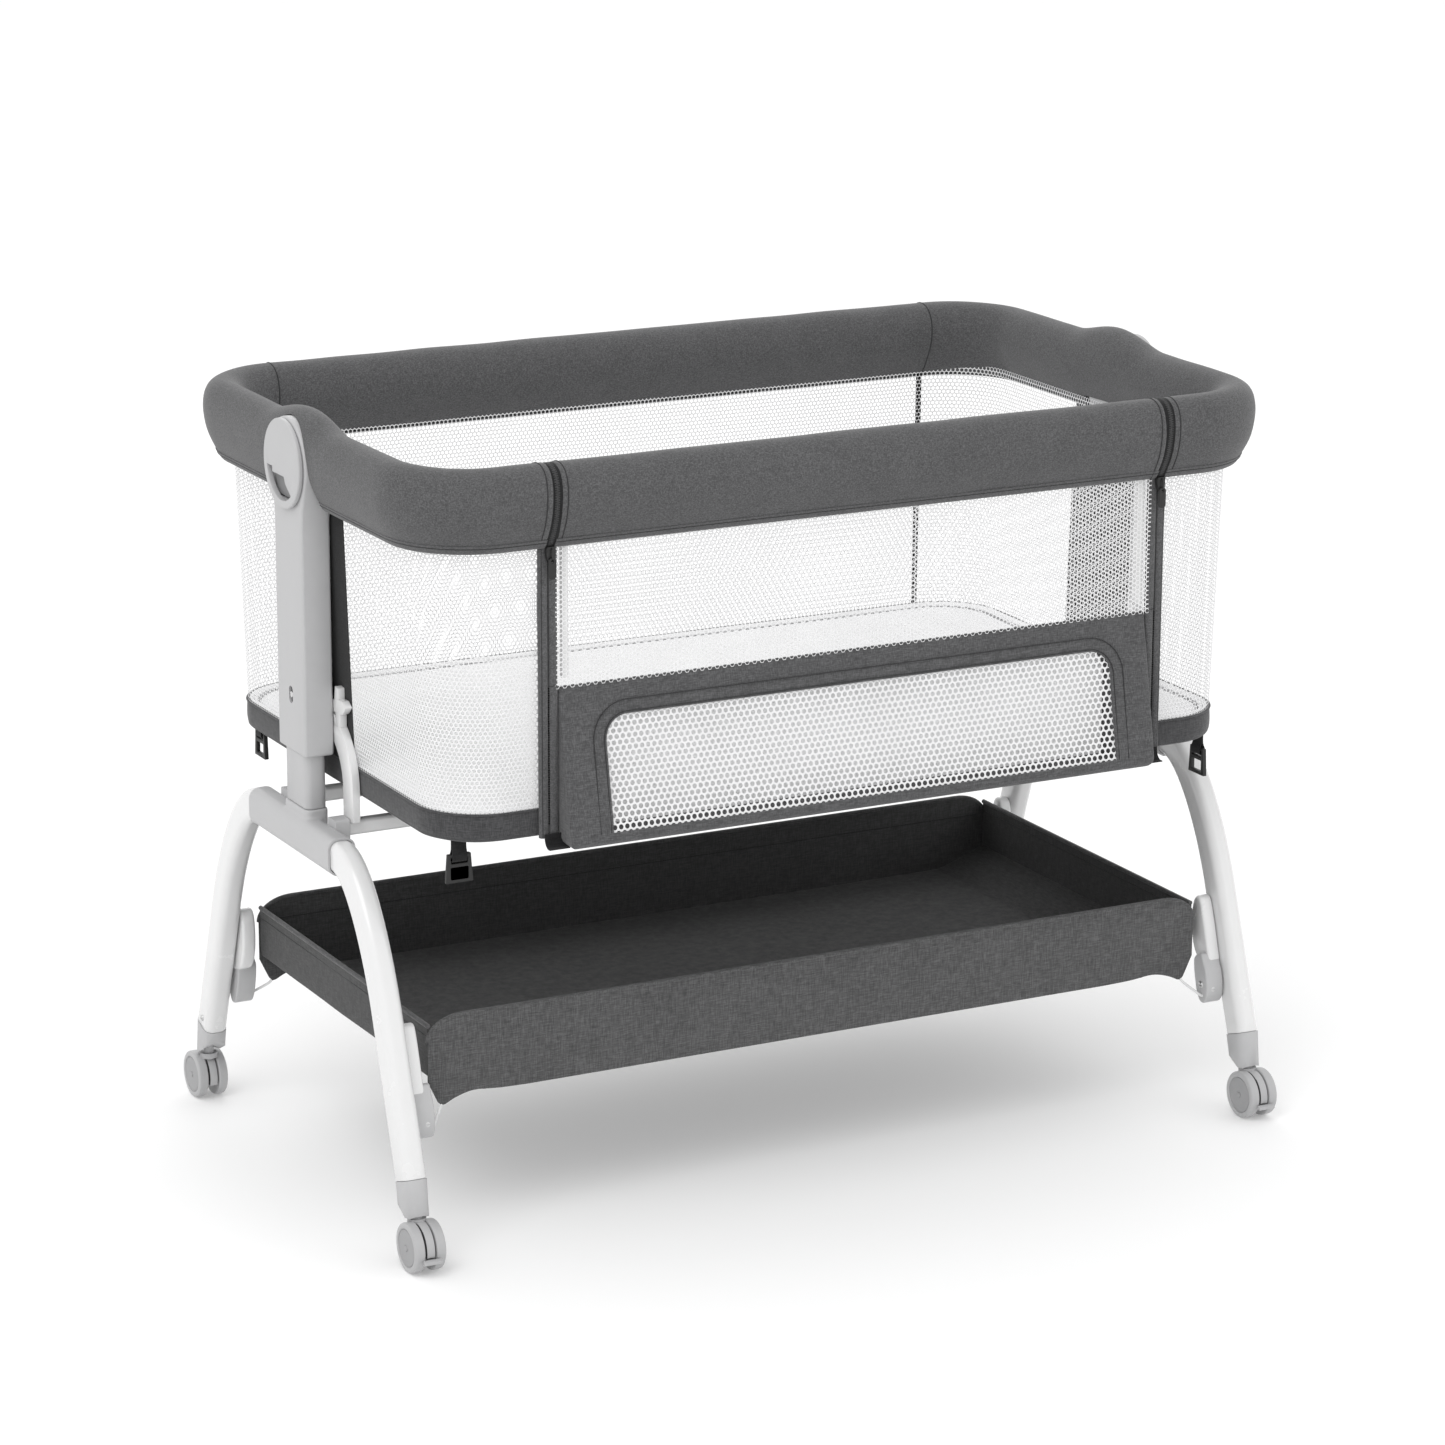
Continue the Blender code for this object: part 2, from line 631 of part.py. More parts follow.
def make_walls(look):
    """The mesh walls: each end with its two corners, and the back between them."""
    loops = wall_loops(WALL_TOP, WALL_BOTTOM, BASE_TOP + GAP, RIM_HEM - GAP)
    count = len(loops) // 2
    made = [loft("mesh_wall_left", loops[:count], look), loft("mesh_wall_right", loops[count:], look)]
    left_end, right_end = loops[count - 1], loops[count]
    back = [[(x + GAP * (1 if x < 0 else -1), y, z) for x, y, z in loop] for loop in (left_end, right_end)]
    made.append(loft("mesh_wall_back", back, look))
    return made


def make_base(look):
    """The bottom tray: floor board and the strip round it."""
    half_x, half_y, corner = WALL_BOTTOM
    size = (2 * half_x, 2 * half_y)
    base = prism("base_tray", round_outline((0, 0), size, corner, 4), 2, BASE_BOTTOM, BASE_TOP, look)
    wall = 0.004
    inside = (size[0] - 2 * wall, size[1] - 2 * wall)
    hollow = prism("base_hollow", round_outline((0, 0), inside, corner - wall, 4), 2,
                   BASE_BOTTOM + BASE_PLATE, BASE_TOP + 0.01)
    cut(base, hollow)
    return base


def make_mattress(look):
    half_x, half_y, corner = WALL_BOTTOM
    size = (2 * half_x - 0.010, 2 * half_y - 0.010)
    return prism("mattress", round_outline((0, 0), size, corner - 0.005, 4), 2,
                 BASE_BOTTOM + BASE_PLATE + GAP, MATTRESS_TOP, look)


def make_front_panel(look):
    """The lower front panel, between the zips. It widens to the roll at its lower edge."""
    back_y = -(WALL_BOTTOM[1] + GAP)
    roll = (-(PANEL_OUT - PANEL_ROLL_RADIUS), PANEL_ROLL_Z)
    outline = [(-0.2495, PANEL_TOP), (-0.2570, PANEL_TOP)]
    outline += arc(roll, PANEL_ROLL_RADIUS, -pi, -pi / 2, 3)
    outline += [(back_y, PANEL_ROLL_Z - PANEL_ROLL_RADIUS), (back_y, BASE_TOP)]
    return prism("front_panel", outline, 0, -DROP_HALF, DROP_HALF, look)


def make_drop_tube(look):
    """The drop side's steel hoop: the rail and a stay down each side to the hinge."""
    half, plane = DROP_HALF - 0.006, HOOP_Y
    bend = 0.020
    path = [(-half, plane, HINGE_Z + 0.006)]
    path += [(x, plane, z) for x, z in arc((-half + bend, TUBE_Z - bend), bend, pi, pi / 2, 4)]
    path += [(-x, y, z) for x, y, z in reversed(path)]
    loops = []
    for index, point in enumerate(path):
        run = (Vector(path[min(index + 1, len(path) - 1)]) - Vector(path[max(index - 1, 0)])).normalized()
        side = Vector((0, 1, 0))
        up = side.cross(run).normalized()
        loops.append([Vector(point) + HOOP_RADIUS * (cos(2 * pi * k / 8) * side + sin(2 * pi * k / 8) * up)
                      for k in range(8)])
    hoop = loft("drop_rail_tube", loops, look)
    set_origin(hoop, (0, HINGE_Y, HINGE_Z))
    return hoop


def make_drop_cover(look):
    """The padded rail cover of the drop side."""
    inner, outer = RIM_INNER[1], RIM_OUTER[1]
    section = [(-(inner + (outer - inner) * share), height) for share, height in rim_section()]
    cover = prism("drop_rail_cover", section, 0, -DROP_HALF, DROP_HALF, look)
    room = HOOP_RADIUS + GAP
    reach = DROP_HALF - 0.006 + room
    channel = box("rail_channel", (-reach, HOOP_Y - room, 0.630), (reach, HOOP_Y + room, TUBE_Z + room))
    cut(cover, channel)
    set_origin(cover, (0, HINGE_Y, HINGE_Z))
    return cover


def make_drop_mesh(look):
    """The mesh of the drop side, from the hinge line up to the rail cover."""
    half = DROP_HALF - 0.013
    plane = -WALL_TOP[1]
    mesh = box("drop_mesh", (-half, plane, HINGE_Z + 0.001), (half, plane + WALL_THICKNESS, RIM_HEM - GAP), look)
    set_origin(mesh, (0, HINGE_Y, HINGE_Z))
    return mesh


def make_slider(side, sign, look):
    """The zip slider at the rim's hem."""
    low, high = (0.622, 0.6425)
    slider = box("zip_slider_" + side, (sign * ZIP_X - 0.004, -0.2635, low), (sign * ZIP_X + 0.004, -0.2575, high),
                 look)
    set_origin(slider, (sign * ZIP_X, -0.2600, high))
    return slider


def make_buckle(place, sign_x, sign_y, look):
    """The ladder buckle on the short strap under one corner. It hangs from its top bar.

    Two of the four are turned a quarter, so that their flat faces the ends of the bed.
    """
    centre = (sign_x * BUCKLE_X, sign_y * BUCKLE_Y)
    thin = 0 if sign_x * sign_y < 0 else 1
    middle, plane = centre[1 - thin], centre[thin]
    outline = [(-0.011, 0.0), (0.011, 0.0), (0.013, -0.026), (-0.013, -0.026)]
    top = BASE_BOTTOM - STRAP_DROP
    buckle = prism("strap_buckle_" + place, [(middle + across, top + z) for across, z in outline], thin,
                   plane - 0.002, plane + 0.002, look)
    for number, (low, high) in enumerate(((-0.0085, -0.0030), (-0.0225, -0.0120))):
        window = [(middle - 0.008, top + low), (middle + 0.008, top + low), (middle + 0.008, top + high),
                  (middle - 0.008, top + high)]
        cut(buckle, prism("buckle_window_%s_%d" % (place, number), window, thin, plane - 0.004, plane + 0.004))
    set_origin(buckle, (*centre, BASE_BOTTOM))
    return buckle


def build():
    clear_scene()
    white_paint = material("white_paint", (0.80, 0.80, 0.80), 0.25)
    grey_plastic = material("grey_plastic", (0.50, 0.50, 0.51), 0.45)
    wheel_plastic = material("wheel_plastic", (0.55, 0.55, 0.55), 0.45)
    steel = material("steel", (0.60, 0.60, 0.60), 0.30, 1.0)
    grey_fabric = material("grey_fabric", (0.095, 0.095, 0.098), 0.95)
    dark_fabric = material("dark_fabric", (0.050, 0.050, 0.052), 0.95)
    white_mesh = material("white_mesh", (0.80, 0.80, 0.80), 0.80)
    white_fabric = material("white_fabric", (0.82, 0.82, 0.82), 0.90)
    black_plastic = material("black_plastic", (0.02, 0.02, 0.02), 0.50)

    for side, sign in SIDES:
        make_tee(side, sign, grey_plastic)
        make_post(side, sign, grey_plastic)
        make_arch(side, sign, white_paint)
        make_sleeve(side, sign, grey_plastic)
        make_hub_cap(side, sign, grey_plastic)
        make_trigger(side, sign, grey_plastic)
        make_pin(side, sign, steel)
        make_slider(side, sign, black_plastic)
    for name, sign_y in (("crossbar_front", -1), ("crossbar_back", 1)):
        make_crossbar(name, sign_y, white_paint)
    for place, sign_x, sign_y in CORNERS:
        make_leg(place, sign_x, sign_y, white_paint)
        make_leg_cap(place, sign_x, sign_y, grey_plastic)
        make_bracket(place, sign_x, sign_y, white_paint)
        make_fork(place, sign_x, sign_y, wheel_plastic)
        for which, outward in (("inner", -sign_x), ("outer", sign_x)):
            face = sign_x * LEG_X + outward * (FORK_HALF_WIDTH + WHEEL_GAP)
            make_wheel("caster_wheel_%s_%s" % (place, which), sign_x, sign_y, face, outward, wheel_plastic)
        make_buckle(place, sign_x, sign_y, black_plastic)
        if sign_y < 0:
            make_brake(place, sign_x, sign_y, wheel_plastic)
    make_basket(dark_fabric)
    make_upper_tube(steel)
    make_rim_cover(grey_fabric)
    make_walls(white_mesh)
    make_base(dark_fabric)
    make_mattress(white_fabric)
    make_front_panel(grey_fabric)
    make_drop_tube(steel)
    make_drop_cover(grey_fabric)
    make_drop_mesh(white_mesh)


build()
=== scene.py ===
import json
from math import atan2, cos, pi, radians, sin, sqrt

import bmesh
import bpy
import numpy as np
from mathutils import Matrix, Vector, noise

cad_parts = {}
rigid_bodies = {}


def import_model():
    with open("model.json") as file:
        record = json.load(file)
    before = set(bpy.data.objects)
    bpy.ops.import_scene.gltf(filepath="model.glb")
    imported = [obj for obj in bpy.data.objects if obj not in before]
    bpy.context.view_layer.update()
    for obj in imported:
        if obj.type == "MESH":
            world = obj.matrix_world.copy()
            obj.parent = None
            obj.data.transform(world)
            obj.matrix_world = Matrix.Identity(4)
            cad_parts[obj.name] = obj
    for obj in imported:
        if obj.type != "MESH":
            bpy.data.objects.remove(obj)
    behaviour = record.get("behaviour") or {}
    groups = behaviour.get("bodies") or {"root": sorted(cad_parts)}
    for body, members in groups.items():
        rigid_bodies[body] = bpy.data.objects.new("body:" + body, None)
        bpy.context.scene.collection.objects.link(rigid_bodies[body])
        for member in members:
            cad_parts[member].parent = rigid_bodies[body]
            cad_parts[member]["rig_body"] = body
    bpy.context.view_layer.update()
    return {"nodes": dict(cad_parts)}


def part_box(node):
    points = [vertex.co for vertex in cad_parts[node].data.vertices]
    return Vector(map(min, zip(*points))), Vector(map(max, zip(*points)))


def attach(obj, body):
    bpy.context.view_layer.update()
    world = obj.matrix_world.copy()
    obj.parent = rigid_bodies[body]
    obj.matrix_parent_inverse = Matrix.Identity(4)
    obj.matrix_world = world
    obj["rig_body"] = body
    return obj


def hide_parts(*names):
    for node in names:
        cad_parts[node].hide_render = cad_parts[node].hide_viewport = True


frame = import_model()

# Driving dimensions in metres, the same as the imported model's.
# Where a node's box gives one, it is read from there.
SIDES = (("left", -1), ("right", 1))
CORNERS = (("left_front", -1, -1), ("left_back", -1, 1), ("right_front", 1, -1), ("right_back", 1, 1))


def low(node):
    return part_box(node)[0]


def high(node):
    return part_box(node)[1]


def centre(node):
    return (low(node) + high(node)) / 2


GAP = 0.0003
SLIDING_FIT = 0.0008
LEG_X = centre("leg_right_front").x
TEE_Z = 0.336
TEE_SIZE = (0.0270, 0.0350)
TEE_CORNER = 0.0105
TEE_HALF = high("t_joint_right").y
TEE_TOP = low("inner_post_right").z
SOCKET_DEPTH = 0.028
LEG_SIZE = (0.022, 0.030)
LEG_CORNER = 0.008
LEG_KNEE = (0.189, 0.216)
LEG_FOOT = (0.2430, 0.0583)
CAP_LENGTH = 0.021
POST_X = centre("inner_post_right").x
POST_SIZE = (0.0205, 0.050)
SLEEVE_X = (low("post_sleeve_right").x, high("post_sleeve_right").x)
SLEEVE_HALF = 0.031
SLEEVE_BOTTOM = low("post_sleeve_right").z
SHOULDER_Z = 0.633
HUB_Z = 0.678
HUB_RADIUS = 0.042
PIN_Z = centre("height_pin_right").z
ARCH_X = centre("end_arch_right").x
ARCH_FOOT = low("end_arch_right").z
ARCH_RADIUS = 0.059
ARCH_WIDTH = 0.022
ARCH_SPRING_Z = 0.386
WHEEL_RADIUS = high("caster_wheel_right_front_outer").z / 2
WHEEL_WIDTH = 0.0095
WHEEL_BORE = 0.0029
FORK_HALF = 0.0045
FORK_VISIBLE = 0.0039
WHEEL_GAP = 0.0008
AXLE_Y = high("caster_wheel_right_back_outer").y - WHEEL_RADIUS
SWIVEL_Y = AXLE_Y - 0.009
BASKET_X = 0.402
BASKET_Y = high("basket").y
BASKET_TOP = high("basket").z
BASKET_FLOOR = 0.134
END_TOP = 0.2020
APRON_TIP_Z = low("basket").z
RIM_OUTER = (high("rim_cover").x, high("rim_cover").y, 0.090)
RIM_INNER = (0.4035, 0.234, 0.050)
RIM_DEPTH = RIM_OUTER[1] - RIM_INNER[1]
RIM_TOP = high("drop_rail_cover").z
RIM_HEM = low("rim_cover").z
RIM_HUMP = 0.012
HUMP_WIDTH = 0.075
WALL_TOP = (0.414, 0.2525, 0.064)
WALL_BOTTOM = (0.406, 0.249, 0.060)
BASE_BOTTOM = low("base_tray").z
BASE_TOP = high("base_tray").z
MATTRESS_TOP = high("mattress").z
ZIP_X = centre("zip_slider_right").x
ZIP_HALF_GAP = 0.0045
SEAM_X = 0.3096
DROP_HALF = high("drop_rail_cover").x
HINGE_Z = 0.517
PANEL_TOP = high("front_panel").z
PANEL_OUT = -low("front_panel").y
PANEL_ROLL_Z = 0.381
PANEL_ROLL_RADIUS = PANEL_ROLL_Z - low("front_panel").z
WINDOW_HALF = 0.2585
WINDOW_Z = (0.384, 0.4855)
WINDOW_CORNER = 0.022
STITCH = 0.00045
FLAP_INNER = 0.3006
FLAP_OUTER = 0.3184
FLAP_DEPTH = 0.0040
FLAP_FOOT = 0.3806
PANEL_HALF = 0.2996
END_PANEL_HALF = 0.055
DROP_NET_Y = -0.2572
SEAM_Y = -0.2556
WALL_PITCH = 0.0043
WALL_HOLE = 0.0038
WINDOW_PITCH = 0.0060
WINDOW_HOLE = 0.0045


# Materials


def look_nodes(name):
    made = bpy.data.materials.new(name)
    made.use_nodes = True
    tree = made.node_tree
    return made, tree, tree.nodes["Principled BSDF"], tree.nodes.new("ShaderNodeTexCoord").outputs["Object"]


def scaled(tree, place, scale):
    mapping = tree.nodes.new("ShaderNodeMapping")
    mapping.inputs["Scale"].default_value = scale
    tree.links.new(place, mapping.inputs["Vector"])
    return mapping.outputs["Vector"]


def grain(tree, place, scale, detail=2.0, rough=0.5):
    """Noise between 0 and 1 with that many grains per metre along each axis."""
    node = tree.nodes.new("ShaderNodeTexNoise")
    node.inputs["Scale"].default_value = 1.0
    node.inputs["Detail"].default_value = detail
    node.inputs["Roughness"].default_value = rough
    scale = scale if hasattr(scale, "__len__") else (scale, scale, scale)
    tree.links.new(scaled(tree, place, scale), node.inputs["Vector"])
    return node.outputs["Fac"]


def ramp(tree, value, stops):
    node = tree.nodes.new("ShaderNodeValToRGB")
    while len(node.color_ramp.elements) < len(stops):
        node.color_ramp.elements.new(0.5)
    for element, (place, colour) in zip(node.color_ramp.elements, stops):
        element.position = place
        element.color = (*colour, 1.0) if hasattr(colour, "__len__") else (colour, colour, colour, 1.0)
    tree.links.new(value, node.inputs["Fac"])
    return node.outputs["Color"]


def total(tree, first, second):
    node = tree.nodes.new("ShaderNodeMath")
    tree.links.new(first, node.inputs[0])
    tree.links.new(second, node.inputs[1])
    return node.outputs["Value"]


def times(tree, value, factor):
    node = tree.nodes.new("ShaderNodeMath")
    node.operation = "MULTIPLY"
    tree.links.new(value, node.inputs[0])
    node.inputs[1].default_value = factor
    return node.outputs["Value"]


def raise_bump(tree, shader, value, distance):
    bump = tree.nodes.new("ShaderNodeBump")
    bump.inputs["Distance"].default_value = distance
    bump.inputs["Strength"].default_value = 1.0
    tree.links.new(value, bump.inputs["Height"])
    tree.links.new(bump.outputs["Normal"], shader.inputs["Normal"])


def tint(colour, factor):
    return tuple(min(1.0, channel * factor) for channel in colour)


def woven(name, colour, contrast=0.35, thread=1500.0, run=130.0, sheen=0.2):
    """Heather cloth: fine crossed threads, some light and some dark, with a faint change of tone."""
    made, tree, shader, place = look_nodes(name)
    upright = grain(tree, place, (thread, thread, run), 3.0, 0.7)
    level = grain(tree, place, (run, run, thread), 3.0, 0.7)
    threads = times(tree, total(tree, upright, level), 0.5)
    cloud = grain(tree, place, 34.0, 3.0)
    mixed = total(tree, threads, times(tree, cloud, 0.06))
    middle, spread = 0.53, 0.10
    dark, light = tint(colour, 1 - contrast), tint(colour, 1 + contrast * 1.4)
    stops = ((middle - spread, dark), (middle, colour), (middle + spread, light))
    tree.links.new(ramp(tree, mixed, stops), shader.inputs["Base Color"])
    tree.links.new(ramp(tree, threads, ((0.3, 0.98), (0.7, 0.84))), shader.inputs["Roughness"])
    shader.inputs["Sheen Weight"].default_value = sheen
    shader.inputs["Sheen Roughness"].default_value = 0.5
    shader.inputs["Specular IOR Level"].default_value = 0.2
    raise_bump(tree, shader, threads, 0.0003)
    return made


def knitted(name, colour, thread=1800.0):
    """Fine even yarn, for the nets and the mattress."""
    made, tree, shader, place = look_nodes(name)
    yarn = grain(tree, place, thread)
    soft = grain(tree, place, 22.0, 2.0)
    mixed = total(tree, times(tree, yarn, 0.6), times(tree, soft, 0.4))
    stops = ((0.35, tint(colour, 0.93)), (0.6, colour))
    tree.links.new(ramp(tree, mixed, stops), shader.inputs["Base Color"])
    tree.links.new(ramp(tree, yarn, ((0.3, 0.9), (0.7, 0.75))), shader.inputs["Roughness"])
    shader.inputs["Sheen Weight"].default_value = 0.15
    shader.inputs["Specular IOR Level"].default_value = 0.3
    raise_bump(tree, shader, yarn, 0.00012)
    return made


def moulded(name, colour, roughness, scale=2600.0, bump=0.00003, coat=0.0, metallic=0.0, wear=0.03):
    """Plastic, paint or metal: fine grain, faint streaks of handling in its gloss, slight change of tone."""
    made, tree, shader, place = look_nodes(name)
    skin = grain(tree, place, scale, 1.0)
    cloud = grain(tree, place, 35.0, 4.0, 0.6)
    stops = ((0.3, tint(colour, 1 - wear)), (0.7, tint(colour, 1 + wear)))
    tree.links.new(ramp(tree, cloud, stops), shader.inputs["Base Color"])
    gloss = ((0.25, roughness * 0.85), (0.75, min(1.0, roughness * 1.2)))
    tree.links.new(ramp(tree, cloud, gloss), shader.inputs["Roughness"])
    shader.inputs["Metallic"].default_value = metallic
    shader.inputs["Coat Weight"].default_value = coat
    shader.inputs["Coat Roughness"].default_value = 0.12
    raise_bump(tree, shader, skin, bump)
    return made


RIM_CLOTH = woven("rim_cloth", (0.082, 0.082, 0.084), contrast=0.34, thread=1150.0, run=460.0)
PANEL_CLOTH = woven("panel_cloth", (0.078, 0.078, 0.080), contrast=0.34, thread=1100.0, run=120.0)
STRIP_CLOTH = woven("strip_cloth", (0.052, 0.052, 0.054), contrast=0.30, thread=1100.0, run=120.0)
BASKET_CLOTH = woven("basket_cloth", (0.081, 0.081, 0.082), contrast=0.34, thread=1100.0, run=90.0)
LINING = woven("basket_lining", (0.058, 0.058, 0.0585), contrast=0.25, thread=1100.0, run=120.0, sheen=0.12)
BLACK_CLOTH = woven("black_cloth", (0.012, 0.012, 0.0125), contrast=0.30, sheen=0.10)
CHAIN = woven("zip_chain", (0.046, 0.046, 0.047), contrast=0.25, thread=1200.0, run=600.0, sheen=0.10)
# The stitches' dark thread; the same colour draws the painted shade lines beside the zips on the rim.
THREAD = woven("thread", (0.026, 0.026, 0.027), thread=3000.0, run=900.0)
NET = knitted("net_yarn", (0.76, 0.76, 0.765))
TICKING = knitted("mattress_ticking", (0.86, 0.86, 0.865), thread=900.0)
PAINT = moulded("white_paint", (0.70, 0.70, 0.70), 0.24, scale=420.0, bump=0.00002, coat=0.6, wear=0.012)
GREY = moulded("grey_plastic", (0.44, 0.44, 0.445), 0.42)
WHEEL = moulded("wheel_plastic", (0.41, 0.41, 0.415), 0.40)
DISC = moulded("wheel_disc", (0.31, 0.31, 0.315), 0.45)
# The release lever's grey darkened: painted shade of the opening in the hub cap that it sits in.
LEVER_PAINTED_SHADE = moulded("lever_painted_shade", (0.20, 0.20, 0.203), 0.5)
# Near-black for the fork's sides: painted shade in the narrow gaps between fork and wheels.
FORK_GAP_SHADE = moulded("fork_gap_painted_shade", (0.07, 0.07, 0.071), 0.5)
STEEL = moulded("steel", (0.60, 0.60, 0.60), 0.28, metallic=1.0)
BLACK = moulded("black_plastic", (0.010, 0.010, 0.010), 0.50, bump=0.00004)


# Mesh tools


def piece(name, points, faces, looks, body=None, sharp=0.7, closed=True):
    """One object from points and faces. It rides on body and takes its finishes from looks."""
    mesh = bpy.data.meshes.new(name)
    points = np.asarray(points, float)
    mesh.from_pydata(points.tolist(), [], faces if isinstance(faces, list) else faces.tolist())
    mesh.update()
    made = bpy.data.objects.new(name, mesh)
    bpy.context.scene.collection.objects.link(made)
    for look in looks if isinstance(looks, tuple) else (looks,):
        mesh.materials.append(look)
    if closed:
        face_outward(mesh)
    shade(mesh, sharp)
    if body:
        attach(made, body)
    return made


def repaint(made, *looks):
    """Gives a piece just these materials."""
    made.data.materials.clear()
    for look in looks:
        made.data.materials.append(look)


def face_outward(mesh):
    work = bmesh.new()
    work.from_mesh(mesh)
    bmesh.ops.recalc_face_normals(work, faces=work.faces)
    work.to_mesh(mesh)
    work.free()


def shade(mesh, sharp):
    mesh.shade_smooth()
    mesh.set_sharp_from_angle(angle=sharp)


def baked(made, sharp=0.7):
    """Applies the piece's modifiers to its mesh."""
    graph = bpy.context.evaluated_depsgraph_get()
    graph.update()
    mesh = bpy.data.meshes.new_from_object(made.evaluated_get(graph))
    made.modifiers.clear()
    made.data = mesh
    shade(mesh, sharp)
    return made


def bevelled(made, width, segments=3, angle=0.6, sharp=0.7):
    modifier = made.modifiers.new("edge", "BEVEL")
    modifier.width = width
    modifier.segments = segments
    modifier.limit_method = "ANGLE"
    modifier.angle_limit = angle
    modifier.miter_outer = "MITER_ARC"
    return baked(made, sharp)


def voxelled(made, size):
    """Rebuilds a piece's skin from voxels of one size."""
    modifier = made.modifiers.new("voxel", "REMESH")
    modifier.mode = "VOXEL"
    modifier.voxel_size = size
    return baked(made)


def combined(made, other, operation, sharp=0.7):
    """Boolean with another object, which is then removed."""
    modifier = made.modifiers.new("join", "BOOLEAN")
    modifier.operation = operation
    modifier.solver = "EXACT"
    modifier.object = other
    baked(made, sharp)
    bpy.data.objects.remove(other, do_unlink=True)
    return made


def finished(made, body, slot, *nodes):
    """Puts a piece on its body and lets it stand for its CAD nodes."""
    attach(made, body)
    if nodes:
        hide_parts(*nodes)
    return made


def refined(node, look, slot, width, segments=3, angle=0.5):
    """A CAD node's own shape with welded, rounded edges."""
    source = frame["nodes"][node]
    mesh = source.data.copy()
    work = bmesh.new()
    work.from_mesh(mesh)
    bmesh.ops.remove_doubles(work, verts=work.verts, dist=2e-6)
    bmesh.ops.dissolve_limit(work, angle_limit=0.01, verts=work.verts, edges=work.edges)
    work.to_mesh(mesh)
    work.free()
    made = bpy.data.objects.new("fine_" + node, mesh)
    bpy.context.scene.collection.objects.link(made)
    repaint(made, look)
    bevelled(made, width, segments, angle)
    return finished(made, source["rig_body"], slot, node)


def loft_faces(rows, count, wrap_rows=False, wrap_columns=True, caps=True):
    faces = []
    for row in range(rows if wrap_rows else rows - 1):
        below, above = row * count, (row + 1) % rows * count
        for step in range(count if wrap_columns else count - 1):
            after = (step + 1) % count
            faces.append((below + step, below + after, above + after, above + step))
    if caps and not wrap_rows:
        faces.append(tuple(range(count))[::-1])
        faces.append(tuple(range((rows - 1) * count, rows * count)))
    return faces


def loft(name, loops, looks, body=None, wrap=False, sharp=0.7):
    """Skins closed loops of equal length, with caps unless the path closes on itself."""
    loops = np.asarray([[tuple(point) for point in loop] for loop in loops], float)
    rows, count = loops.shape[:2]
    return piece(name, loops.reshape(-1, 3), loft_faces(rows, count, wrap), looks, body, sharp)


def prism(name, outline, axis, first, last, looks=None, sharp=0.7):
    """Extrudes an outline along an axis. The outline's numbers are the other two coordinates in order."""
    loops = []
    for height in (first, last):
        loops.append([np.insert(np.asarray(point, float), axis, height) for point in outline])
    return loft(name, loops, looks or GREY, sharp=sharp)


def arc(middle, radius, start, end, steps):
    angles = np.linspace(start, end, steps + 1)
    return [(middle[0] + radius * cos(angle), middle[1] + radius * sin(angle)) for angle in angles]


def line(start, end, steps):
    """Points from start towards end, without the end."""
    start, end = np.asarray(start, float), np.asarray(end, float)
    return [tuple(start + (end - start) * step / steps) for step in range(steps)]


def round_outline(middle, size, corner, steps=6):
    half = (size[0] / 2 - corner, size[1] / 2 - corner)
    points = []
    for quarter, (sign_x, sign_y) in enumerate(((1, 1), (-1, 1), (-1, -1), (1, -1))):
        place = (middle[0] + sign_x * half[0], middle[1] + sign_y * half[1])
        points += arc(place, corner, quarter * pi / 2, (quarter + 1) * pi / 2, steps)
    return points


def smooth_path(points, per_span, closed=False):
    """A smooth curve through points, by Catmull-Rom."""
    points = [np.asarray(point, float) for point in points]
    count = len(points)
    out = []
    for index in range(count if closed else count - 1):
        if closed:
            a, b, c, d = (points[(index + shift) % count] for shift in (-1, 0, 1, 2))
        else:
            a, b = points[max(index - 1, 0)], points[index]
            c, d = points[index + 1], points[min(index + 2, count - 1)]
        for step in range(per_span):
            t = step / per_span
            out.append(0.5 * (2 * b + (c - a) * t + (2 * a - 5 * b + 4 * c - d) * t**2
                              + (3 * b - a - 3 * c + d) * t**3))
    if not closed:
        out.append(points[-1])
    return np.array(out)


def tube(name, path, radius, looks, body, segments=8, closed=False):
    """A round strand along a path in space."""
    path = np.asarray(path, float)
    count = len(path)
    loops = []
    side = None
    for index, point in enumerate(path):
        before = path[(index - 1) % count] if closed else path[max(index - 1, 0)]
        after = path[(index + 1) % count] if closed else path[min(index + 1, count - 1)]
        run = Vector(after - before).normalized()
        if side is None:
            side = run.orthogonal().normalized()
        side = (side - run * side.dot(run)).normalized()
        up = run.cross(side)
        turns = [2 * pi * k / segments for k in range(segments)]
        loops.append([Vector(point) + radius * (cos(turn) * side + sin(turn) * up) for turn in turns])
    return loft(name, loops, looks, body, closed)


def stitches(name, path, body="bassinet", radius=STITCH, closed=False):
    """A row of stitches as a fine thread. It also draws the dark painted shade lines beside the zips on the
    rim.
    """
    return tube(name, path, radius, THREAD, body, 6, closed)


def joined(name, pieces):
    """One object from several that share a material."""
    bpy.ops.object.select_all(action="DESELECT")
    for made in pieces:
        made.select_set(True)
    bpy.context.view_layer.objects.active = pieces[0]
    bpy.ops.object.join()
    pieces[0].name = name
    pieces[0].data.name = name
    return pieces[0]


# Plan and section of the bed


def bed_plan(half_x, half_y, corner, start_x):
    """Points in plan from the left zip round the back to the right zip."""
    flat_x, flat_y = half_x - corner, half_y - corner
    left = line((-start_x, -half_y), (-flat_x, -half_y), 8)
    left += arc((-flat_x, -flat_y), corner, -pi / 2, -pi, 18)
    left += line((-half_x, -flat_y), (-half_x, flat_y), 60)[1:]
    left += arc((-flat_x, flat_y), corner, pi, pi / 2, 18)
    back = line((-flat_x, half_y), (flat_x, half_y), 60)[1:]
    return np.array(left + back + [(-x, y) for x, y in reversed(left)])


